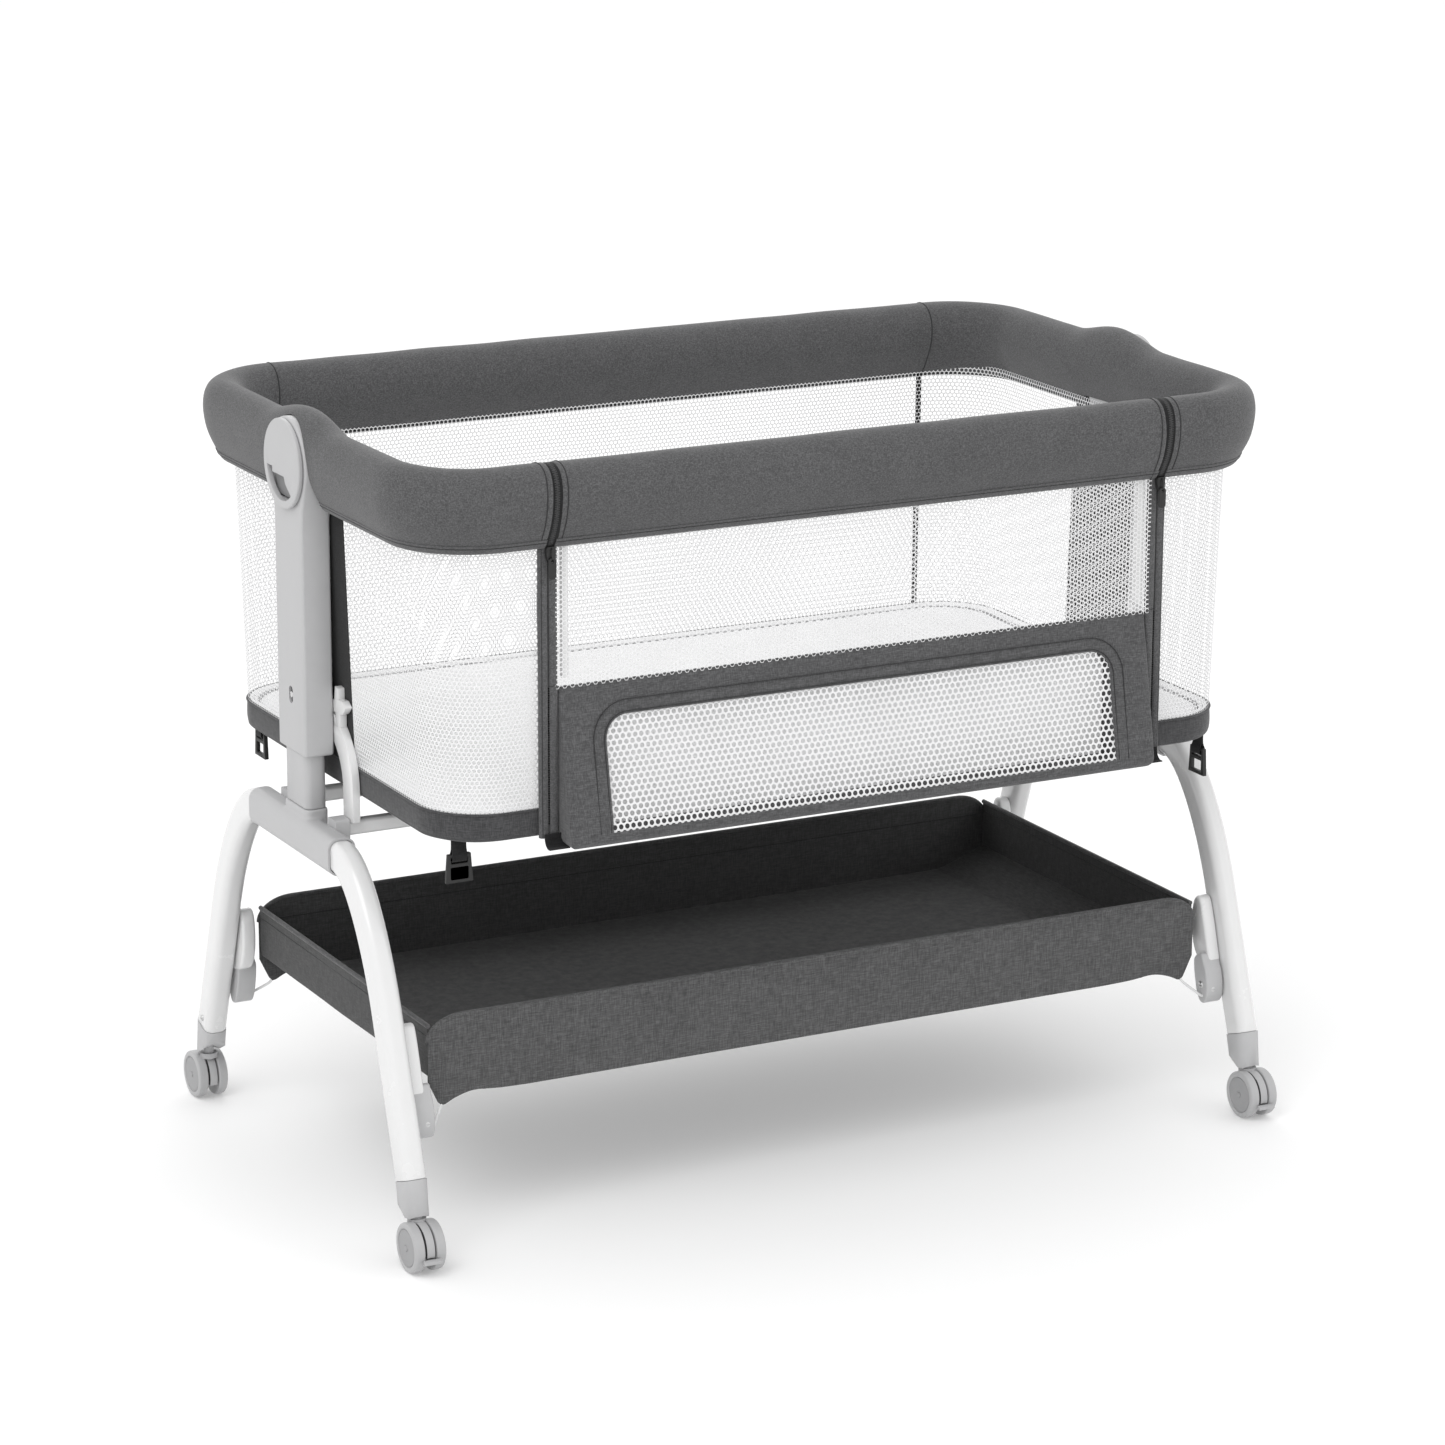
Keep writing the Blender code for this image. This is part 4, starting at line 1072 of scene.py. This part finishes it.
def make_screw(name, place, way, radius):
    """A low domed screw head with a slot, facing along X."""
    x, y, z = place
    profile = [(0.0, 1.0), (0.0006, 1.0), (0.0012, 0.86), (0.0016, 0.5), (0.0017, 0.02)]
    turns = np.linspace(0, 2 * pi, 24, endpoint=False)
    loops = [[(x + way * out, y + radius * reach * cos(a), z + radius * reach * sin(a)) for a in turns]
             for out, reach in profile]
    head = loft(name, loops, STEEL)
    slot_half = 0.0004
    slot = [(y - radius, z - slot_half), (y + radius, z - slot_half), (y + radius, z + slot_half),
            (y - radius, z + slot_half)]
    combined(head, prism("slot", slot, 0, *sorted((x + way * 0.0009, x + way * 0.004))), "DIFFERENCE")
    return finished(head, "stand", "steel")


def make_tees():
    """The moulded joint between an end's legs and its post, with soft fillets."""
    for side, sign in SIDES:
        ring = round_outline((sign * LEG_X, TEE_Z), TEE_SIZE, TEE_CORNER, 10)
        tee = prism("tee_" + side, ring, 1, -TEE_HALF - 0.006, TEE_HALF + 0.006)
        boss = round_outline((sign * POST_X, 0), (POST_SIZE[0] + 0.0028, POST_SIZE[1] + 0.0028), 0.006)
        combined(tee, prism("boss", boss, 2, TEE_Z, TEE_TOP - GAP), "UNION")
        voxelled(tee, 0.0012)
        soften = tee.modifiers.new("soften", "SMOOTH")
        soften.factor = 0.5
        soften.iterations = 9
        baked(tee, 1.2)
        for way in (-1, 1):
            ends = sorted((way * TEE_HALF, way * (TEE_HALF + 0.02)))
            block = round_outline((sign * LEG_X, TEE_Z), (0.06, 0.06), 0.001)
            combined(tee, prism("end", block, 1, *ends), "DIFFERENCE", 0.8)
            ends = sorted((way * (TEE_HALF - SOCKET_DEPTH), way * (TEE_HALF + 0.01)))
            size = (LEG_SIZE[0] + SLIDING_FIT, LEG_SIZE[1] + SLIDING_FIT)
            hole = round_outline((sign * LEG_X, TEE_Z), size, LEG_CORNER)
            combined(tee, prism("socket", hole, 1, *ends), "DIFFERENCE", 0.8)
            across = sorted((sign * 0.430, sign * 0.4162))
            lug = prism("lug", round_outline((way * 0.055, 0.351), (0.018, 0.019), 0.002), 0, *across)
            combined(tee, lug, "UNION", 0.8)
        repaint(tee, GREY)
        finished(tee, "stand", "grey_plastic", "t_joint_" + side)
        refined("inner_post_" + side, GREY, "grey_plastic", 0.0008, 2, 0.9)


CLEAT_X = (0.4093, 0.4157)
CLEAT_OUTLINE = (
    (0.0335, 0.477), (0.0400, 0.476), (0.0405, 0.466), (0.0500, 0.4665), (0.0570, 0.462), (0.0500, 0.4545),
    (0.0445, 0.4530), (0.0440, 0.441), (0.0370, 0.440), (0.0335, 0.453), (0.0235, 0.452), (0.0175, 0.457),
    (0.0225, 0.463), (0.0315, 0.464),
)


def make_arches():
    """The end arches with their two cleats each, and the crossbars that carry them."""
    inner, outer = ARCH_RADIUS - ARCH_WIDTH / 2, ARCH_RADIUS + ARCH_WIDTH / 2
    hoop = [(outer, ARCH_FOOT), *arc((0, ARCH_SPRING_Z), outer, 0, pi, 48), (-outer, ARCH_FOOT)]
    hoop += [(-inner, ARCH_FOOT), *arc((0, ARCH_SPRING_Z), inner, pi, 0, 40), (inner, ARCH_FOOT)]
    for side, sign in SIDES:
        ends = sorted((sign * (ARCH_X - 0.0035), sign * (ARCH_X + 0.0035)))
        arch = prism("arch_" + side, hoop, 0, *ends)
        for way in (-1, 1):
            outline = [(way * y, z) for y, z in CLEAT_OUTLINE]
            combined(arch, prism("cleat", outline, 0, *sorted(sign * x for x in CLEAT_X)), "UNION")
        bevelled(arch, 0.0013, 3, 0.6)
        repaint(arch, PAINT)
        finished(arch, "stand", "white_paint", "end_arch_" + side)
    for end in ("front", "back"):
        refined("crossbar_" + end, PAINT, "white_paint", 0.0012, 3)


# Sleeves and hubs


def make_sleeves():
    neck = 0.038
    flare_z = HUB_Z - sqrt(HUB_RADIUS**2 - neck**2)
    shoulder = [(SLEEVE_HALF, SHOULDER_Z - 0.006), (0.0325, SHOULDER_Z + 0.006), (0.0365, flare_z - 0.006),
                (neck, flare_z)]
    half = [(SLEEVE_HALF, SLEEVE_BOTTOM), (SLEEVE_HALF, SHOULDER_Z - 0.010)]
    half += [tuple(spot) for spot in smooth_path(shoulder, 5)]
    mirrored = [(-y, z) for y, z in reversed(half)]
    outline = [*half, *arc((0, HUB_Z), HUB_RADIUS, -0.42, pi + 0.42, 72), *mirrored]
    for side, sign in SIDES:
        ends = sorted(sign * value for value in SLEEVE_X)
        face = sign * SLEEVE_X[1]
        sleeve = prism("sleeve_" + side, outline, 0, *ends)
        bevelled(sleeve, 0.0028, 4, 0.9)
        size = (POST_SIZE[0] + SLIDING_FIT, POST_SIZE[1] + SLIDING_FIT)
        cavity = prism("cavity", round_outline((sign * POST_X, 0), size, 0.006), 2, SLEEVE_BOTTOM - 0.01, 0.606)
        pocket = sorted((face + sign * 0.001, face - sign * 0.0075))
        trigger_room = [(-0.024, HUB_Z - 0.033), (0.030, HUB_Z - 0.033), (0.030, HUB_Z), (-0.024, HUB_Z)]
        depth = sorted((face + sign * 0.001, face - sign * 0.004))
        window = round_outline((0, PIN_Z), (0.009, 0.016), 0.0044)
        combined(sleeve, cavity, "DIFFERENCE")
        combined(sleeve, prism("pocket", trigger_room, 0, *pocket), "DIFFERENCE")
        combined(sleeve, prism("window", window, 0, *depth), "DIFFERENCE")
        repaint(sleeve, GREY)
        finished(sleeve, "bassinet", "grey_plastic", "post_sleeve_" + side)
        make_hub_cap(side, sign, face)
        # The lever takes the darker grey as painted shade of the cap's opening.
        refined("release_trigger_" + side, LEVER_PAINTED_SHADE, "grey_plastic", 0.0008)
        refined("height_pin_" + side, STEEL, "steel", 0.0004)


def make_hub_cap(side, sign, face):
    """The round cover with its stepped finger opening."""
    ends = sorted((face + sign * GAP, sign * high("hub_cap_right").x))
    cap = prism("cap_" + side, arc((0, HUB_Z), HUB_RADIUS - 0.0012, 0, 2 * pi, 96)[:-1], 0, *ends)
    bevelled(cap, 0.0016, 4, 0.9)
    steps = [(0.0325, -0.006), (0.0205, -0.006), (0.0205, -0.011), (-0.006, -0.011), (-0.009, -0.017)]
    outline = [(y, HUB_Z + z) for y, z in [*steps, *arc((0, 0), 0.0335, -2.26, -0.19, 24)]]
    combined(cap, prism("opening", outline, 0, ends[0] - 0.002, ends[1] + 0.002), "DIFFERENCE")
    bevelled(cap, 0.0004, 2, 1.2)
    repaint(cap, GREY)
    finished(cap, "bassinet", "grey_plastic", "hub_cap_" + side)


# Casters


def make_wheel(place, sign_x, sign_y, which, outward):
    """A turned wheel: tread, rim ring, groove and a darker disc."""
    profile = [(0.0, WHEEL_BORE), (0.0, 0.0208), (0.0004, 0.0220), (0.0012, 0.02265), (0.0022, WHEEL_RADIUS),
               (0.0070, WHEEL_RADIUS), (0.0083, 0.0225), (0.0091, 0.0217), (0.0095, 0.0204), (0.0095, 0.0182),
               (0.0090, 0.0176), (0.0084, 0.0174), (0.0084, 0.0168), (0.0089, 0.0164), (0.0091, 0.0120),
               (0.0092, 0.0060), (0.0092, WHEEL_BORE)]
    disc_from = 12
    face = sign_x * LEG_X + outward * (FORK_HALF + WHEEL_GAP)
    axle_y = sign_y * AXLE_Y
    loops = [[(face + outward * across, axle_y + reach * cos(a), WHEEL_RADIUS + reach * sin(a))
              for across, reach in profile] for a in np.linspace(0, 2 * pi, 72, endpoint=False)]
    wheel = loft("wheel_%s_%s" % (place, which), loops, (WHEEL, DISC), wrap=True, sharp=0.5)
    for polygon in wheel.data.polygons:
        spots = [wheel.data.vertices[index].co for index in polygon.vertices]
        reaches = [sqrt((spot.y - axle_y) ** 2 + (spot.z - WHEEL_RADIUS) ** 2) for spot in spots]
        outer = abs(np.mean([spot.x for spot in spots]) - face) > 0.008
        polygon.material_index = int(outer and max(reaches) < profile[disc_from - 1][1] + 1e-4)
    finished(wheel, "wheel_%s_%s" % (place, which), "wheel_plastic", "caster_wheel_%s_%s" % (place, which))
    hub = [(face + outward * (WHEEL_WIDTH - 0.0012 + rise), reach)
           for rise, reach in ((0, 0.0027), (0.0011, 0.0026), (0.0015, 0.0018), (0.0016, 0.0002))]
    loops = [[(x, axle_y + reach * cos(a), WHEEL_RADIUS + reach * sin(a))
              for a in np.linspace(0, 2 * pi, 20, endpoint=False)] for x, reach in hub]
    loft("axle_end_%s_%s" % (place, which), loops, DISC, "caster_" + place)


def make_fork(place, sign_x, sign_y):
    """The band between the wheels, with its stem."""
    axle_y = sign_y * AXLE_Y
    sector = arc((0, 0), WHEEL_RADIUS - 0.0008, -0.20, pi + 0.35, 60)
    outline = [(axle_y + sign_y * y, WHEEL_RADIUS + z) for y, z in [*sector, (0.0, -0.007)]]
    middle = sign_x * LEG_X
    fork = prism("fork_" + place, outline, 0, middle - FORK_VISIBLE, middle + FORK_VISIBLE)
    reach = FORK_HALF + WHEEL_GAP + WHEEL_WIDTH - 0.001
    swivel = (middle, sign_y * SWIVEL_Y)
    axle = arc((axle_y, WHEEL_RADIUS), 0.0025, 0, 2 * pi, 24)[:-1]
    stem = arc(swivel, 0.005, 0, 2 * pi, 28)[:-1]
    collar = arc(swivel, 0.0085, 0, 2 * pi, 32)[:-1]
    bevelled(fork, 0.0007, 2, 0.6)
    combined(fork, prism("axle", axle, 0, middle - reach, middle + reach), "UNION")
    combined(fork, prism("stem", stem, 2, 0.036, 0.056), "UNION")
    combined(fork, prism("collar", collar, 2, 0.0415, 0.0465), "UNION")
    repaint(fork, WHEEL, FORK_GAP_SHADE)
    # The fork's flat sides facing the wheels are near-black: painted shade in the narrow gaps beside the
    # wheels.
    for face in fork.data.polygons:
        face.material_index = int(abs(face.normal.x) > 0.9 and face.center.z < 0.0405)
    finished(fork, "caster_" + place, "wheel_plastic", "caster_fork_" + place)


def make_casters():
    for place, sign_x, sign_y in CORNERS:
        make_fork(place, sign_x, sign_y)
        for which, outward in (("inner", -sign_x), ("outer", sign_x)):
            make_wheel(place, sign_x, sign_y, which, outward)
        if sign_y < 0:
            refined("brake_pedal_" + place, WHEEL, "wheel_plastic", 0.0005, 2)


# Basket


def apron_outline():
    """One half of an apron, from the middle of its top edge round to the middle of its foot."""
    wide, tall = 0.034, 0.022
    turn = arc((0, 0), 1.0, pi / 2, 0, 12)
    half = [(BASKET_X - wide + wide * across, BASKET_TOP - tall + tall * up) for across, up in turn]
    tip = [(BASKET_X, 0.1500), (BASKET_X - 0.0095, APRON_TIP_Z + 0.0030), (BASKET_X - 0.0125, APRON_TIP_Z),
           (BASKET_X - 0.0160, APRON_TIP_Z + 0.0006)]
    foot = [tip[-1], (BASKET_X - 0.028, 0.1330), (BASKET_X - 0.045, 0.1365), (BASKET_X - 0.070, 0.1345),
            (BASKET_X - 0.100, BASKET_FLOOR - 0.0003)]
    return half + tip[:-1] + [tuple(spot) for spot in smooth_path(foot, 5)]


def make_aprons():
    """Front and back panels: linen outside, lining inside, a folded top edge and a row of stitches."""
    half = apron_outline()
    outline = half + [(-x, z) for x, z in reversed(half)]
    for end, sign in (("front", -1), ("back", 1)):
        faces = ((BASKET_CLOTH, "linen", BASKET_Y, BASKET_Y - 0.0016),
                 (LINING, "lining", BASKET_Y - 0.0016, BASKET_Y - 0.0028))
        for look, layer, outer, inner in faces:
            limits = sorted((sign * outer, sign * inner))
            apron = prism("apron_%s_%s" % (layer, end), outline, 1, *limits, look)
            bevelled(apron, 0.0005, 2, 0.9)
            finished(apron, "stand", "dark_fabric", *(["basket"] if look is BASKET_CLOTH else []))
        path = [(x, sign * (BASKET_Y - 0.0014), z - 0.0005) for x, z in reversed(half[:13])]
        path = [*path, *[(-x, y, z) for x, y, z in reversed(path)]]
        tube("apron_edge_" + end, path, 0.0021, BASKET_CLOTH, "stand", 10)
        across = np.linspace(-BASKET_X + 0.010, BASKET_X - 0.010, 60)
        stitch = [(x, sign * (BASKET_Y - 0.0029), BASKET_TOP - 0.0210) for x in across]
        stitches("apron_stitch_" + end, stitch, "stand")


def make_basket_floor():
    """Floor and end panels: one strip of lining that dips a little between its edges."""
    inner = BASKET_Y - 0.0030
    turn = BASKET_X - 0.0015
    floor_z = 0.1352
    path = [(turn, END_TOP), (turn, 0.182), (turn - 0.0005, 0.158), (turn - 0.004, 0.1535),
            (turn - 0.026, 0.1450), (turn - 0.050, 0.1365), (turn - 0.062, 0.1355), (turn - 0.110, floor_z)]
    half = [tuple(spot) for spot in smooth_path(path, 6)]
    flat = [(x, floor_z) for x in np.linspace(half[-1][0], -half[-1][0], 50)[1:-1]]
    profile = half + flat + [(-x, z) for x, z in reversed(half)]
    rows = []
    for y in np.linspace(-inner, inner, 40):
        dip = -0.0010 * (1 - (y / inner) ** 2)
        rows.append([(x, y, z if z > 0.150 else z + dip) for x, z in profile])
    faces = loft_faces(len(rows), len(profile), wrap_columns=False, caps=False)
    points = rumpled(rows, 0.0005, 12.0, 9.0).reshape(-1, 3)
    floor = piece("basket_floor", points, faces, LINING, closed=False)
    solid = floor.modifiers.new("thick", "SOLIDIFY")
    solid.thickness = 0.0016
    solid.offset = 0
    baked(floor)
    face_outward(floor.data)
    finished(floor, "stand", "dark_fabric", "basket")
    along = np.linspace(-inner, inner, 30)
    for side, sign in SIDES:
        roll = [(sign * turn, y, END_TOP) for y in along]
        tube("basket_end_edge_" + side, roll, 0.0022, BASKET_CLOTH, "stand", 10)
        for layer, out in (("in", -0.0012), ("out", 0.0010)):
            row = [(sign * (turn + out), y, END_TOP - 0.0095) for y in along]
            stitches("basket_end_stitch_%s_%s" % (layer, side), row, "stand")


FIN_OUTLINE = (
    (0.1800, 0.166), (0.1790, 0.185), (0.1815, 0.199), (0.1870, 0.2055), (0.1935, 0.2035), (0.1985, 0.192),
    (0.2035, 0.177), (0.2085, 0.160), (0.2120, 0.146), (0.2060, 0.141), (0.1950, 0.143), (0.1860, 0.150),
)
FOOT_OUTLINE = (
    (0.1965, 0.1475), (0.2070, 0.1540), (0.2120, 0.1470), (0.2175, 0.1360), (0.2200, 0.1240), (0.2195, 0.1130),
    (0.2150, 0.1060), (0.2080, 0.1060), (0.2020, 0.1140), (0.1985, 0.1250), (0.1960, 0.1370),
)


def make_brackets():
    """The basket's carriers: a curved white fin, the grey foot below it, two screws and the apron's wire."""
    inner, outer = low("basket_bracket_right_front").x, high("basket_bracket_right_front").x
    for place, sign_x, sign_y in CORNERS:
        outline = [(sign_y * y, z) for y, z in smooth_path(FIN_OUTLINE, 4, closed=True)]
        ends = sorted((sign_x * (inner + 0.0040), sign_x * outer))
        upper = prism("bracket_fin_" + place, outline, 0, *ends, PAINT)
        bevelled(upper, 0.0028, 4, 0.6)
        finished(upper, "stand", "white_paint", "basket_bracket_" + place)
        outline = [(sign_y * y, z) for y, z in smooth_path(FOOT_OUTLINE, 4, closed=True)]
        inner_face = sign_x * (inner - 0.0025)
        ends = sorted((inner_face, sign_x * (outer - 0.0010)))
        lower = prism("bracket_foot_" + place, outline, 0, *ends, GREY)
        bevelled(lower, 0.0024, 4, 0.6)
        finished(lower, "stand", "grey_plastic")
        make_screw("bracket_screw_" + place, (inner_face, sign_y * 0.2100, 0.1230), -sign_x, 0.0036)
        head = make_screw("bracket_bolt_" + place, (0, 0, 0), 1, 0.0038)
        spot = Vector((sign_x * (inner + 0.0050), sign_y * 0.2187, 0.1200))
        for vertex in head.data.vertices:
            out, across, up = vertex.co
            vertex.co = spot + Vector((sign_y * across, sign_y * out, up))
        face_outward(head.data)
        tip = (sign_x * (BASKET_X - 0.0125), sign_y * (BASKET_Y - 0.001), APRON_TIP_Z + 0.001)
        route = [tip, (tip[0] + sign_x * 0.003, tip[1] + sign_y * 0.002, 0.1240),
                 (sign_x * 0.4000, sign_y * 0.2065, 0.1170), (sign_x * 0.4045, sign_y * 0.2120, 0.1130),
                 (inner_face, sign_y * 0.2140, 0.1140)]
        tube("basket_wire_" + place, smooth_path(route, 6), 0.0013, PAINT, "stand", 8)


# Straps


def make_straps():
    """The short webbing under each corner with its ladder buckle. Two hang turned by a quarter."""
    for place, sign_x, sign_y in CORNERS:
        buckle = refined("strap_buckle_" + place, BLACK, "black_plastic", 0.0006, 2)
        middle = centre("strap_buckle_" + place)
        top = high("strap_buckle_" + place).z - 0.0012
        path = [(0.0004, BASE_BOTTOM + 0.002), (0.0006, top + 0.006), (0.0028, top), (0.0030, top - 0.0045),
                (0.0004, top - 0.0058), (-0.0024, top - 0.0040), (-0.0028, top + 0.001),
                (-0.0008, top + 0.007), (-0.0006, BASE_BOTTOM + 0.002)]
        width = (-0.0070, 0.0070)
        strap = ribbon("strap_" + place, smooth_path(path, 4), width, 0.0010, BLACK_CLOTH, None)
        turned = sign_x * sign_y < 0
        for vertex in strap.data.vertices:
            across, out, up = vertex.co
            shift = (out, across) if turned else (across, out)
            vertex.co = (middle.x + shift[0], middle.y + shift[1], up)
        face_outward(strap.data)
        finished(strap, buckle["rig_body"], "dark_fabric")


# Stage, light and camera


LAMPS = (
    ("key", (-2.2, -1.6, 3.4), 2.6, 42.0),
    ("fill", (2.4, -3.0, 2.2), 3.0, 10.0),
    ("back", (1.0, 3.0, 2.6), 2.5, 14.0),
)


def make_stage():
    look, _, shader, _ = look_nodes("studio_floor")
    shader.inputs["Base Color"].default_value = (0.77, 0.77, 0.77, 1)
    shader.inputs["Emission Color"].default_value = (1, 1, 1, 1)
    shader.inputs["Emission Strength"].default_value = 0.20
    shader.inputs["Roughness"].default_value = 0.9
    shader.inputs["Specular IOR Level"].default_value = 0.1
    reach = 9
    points = [(-reach, -reach, 0), (reach, -reach, 0), (reach, reach, 0), (-reach, reach, 0)]
    floor = piece("floor", points, [(0, 1, 2, 3)], look, closed=False)
    world = bpy.data.worlds.new("studio")
    bpy.context.scene.world = world
    world.use_nodes = True
    background = world.node_tree.nodes["Background"]
    background.inputs["Color"].default_value = (1, 1, 1, 1)
    background.inputs["Strength"].default_value = 1.04
    for name, place, size, energy in LAMPS:
        data = bpy.data.lights.new(name, "AREA")
        data.shape = "DISK"
        data.size = size
        data.energy = energy
        lamp = bpy.data.objects.new(name, data)
        bpy.context.scene.collection.objects.link(lamp)
        lamp.location = place
        aim = Vector((0, 0, 0.4)) - Vector(place)
        lamp.rotation_euler = aim.to_track_quat("-Z", "Y").to_euler()


def make_camera():
    yaw, pitch, roll = radians(27.644), radians(15.364), radians(0.215)
    ahead = Vector((sin(yaw) * cos(pitch), cos(yaw) * cos(pitch), -sin(pitch)))
    level = Vector((cos(yaw), -sin(yaw), 0))
    upright = level.cross(ahead)
    across = cos(roll) * level + sin(roll) * upright
    up = -sin(roll) * level + cos(roll) * upright
    data = bpy.data.cameras.new("camera")
    data.sensor_width = 36.0
    data.lens = 118.70
    camera = bpy.data.objects.new("camera", data)
    bpy.context.scene.collection.objects.link(camera)
    turn = Matrix((across, up, -ahead)).transposed().to_4x4()
    camera.matrix_world = Matrix.Translation((-2.02375, -3.85357, 1.57946)) @ turn
    bpy.context.scene.camera = camera


def keep_inner_nodes():
    """The tubes inside the padding stay as packed: bare steel, and white paint for the drop side's hoop."""
    for node, look in (("upper_frame_tube", STEEL), ("drop_rail_tube", PAINT)):
        repaint(frame["nodes"][node], look)


make_camera()
make_stage()
bpy.context.scene.view_settings.view_transform = "Standard"
keep_inner_nodes()
make_rim()
make_drop_rail()
make_base()
make_walls()
make_drop_net()
make_panel()
make_zips()
make_end_panels()
make_mattress()
make_legs()
make_tees()
make_arches()
make_sleeves()
make_casters()
make_basket_floor()
make_aprons()
make_brackets()
make_straps()
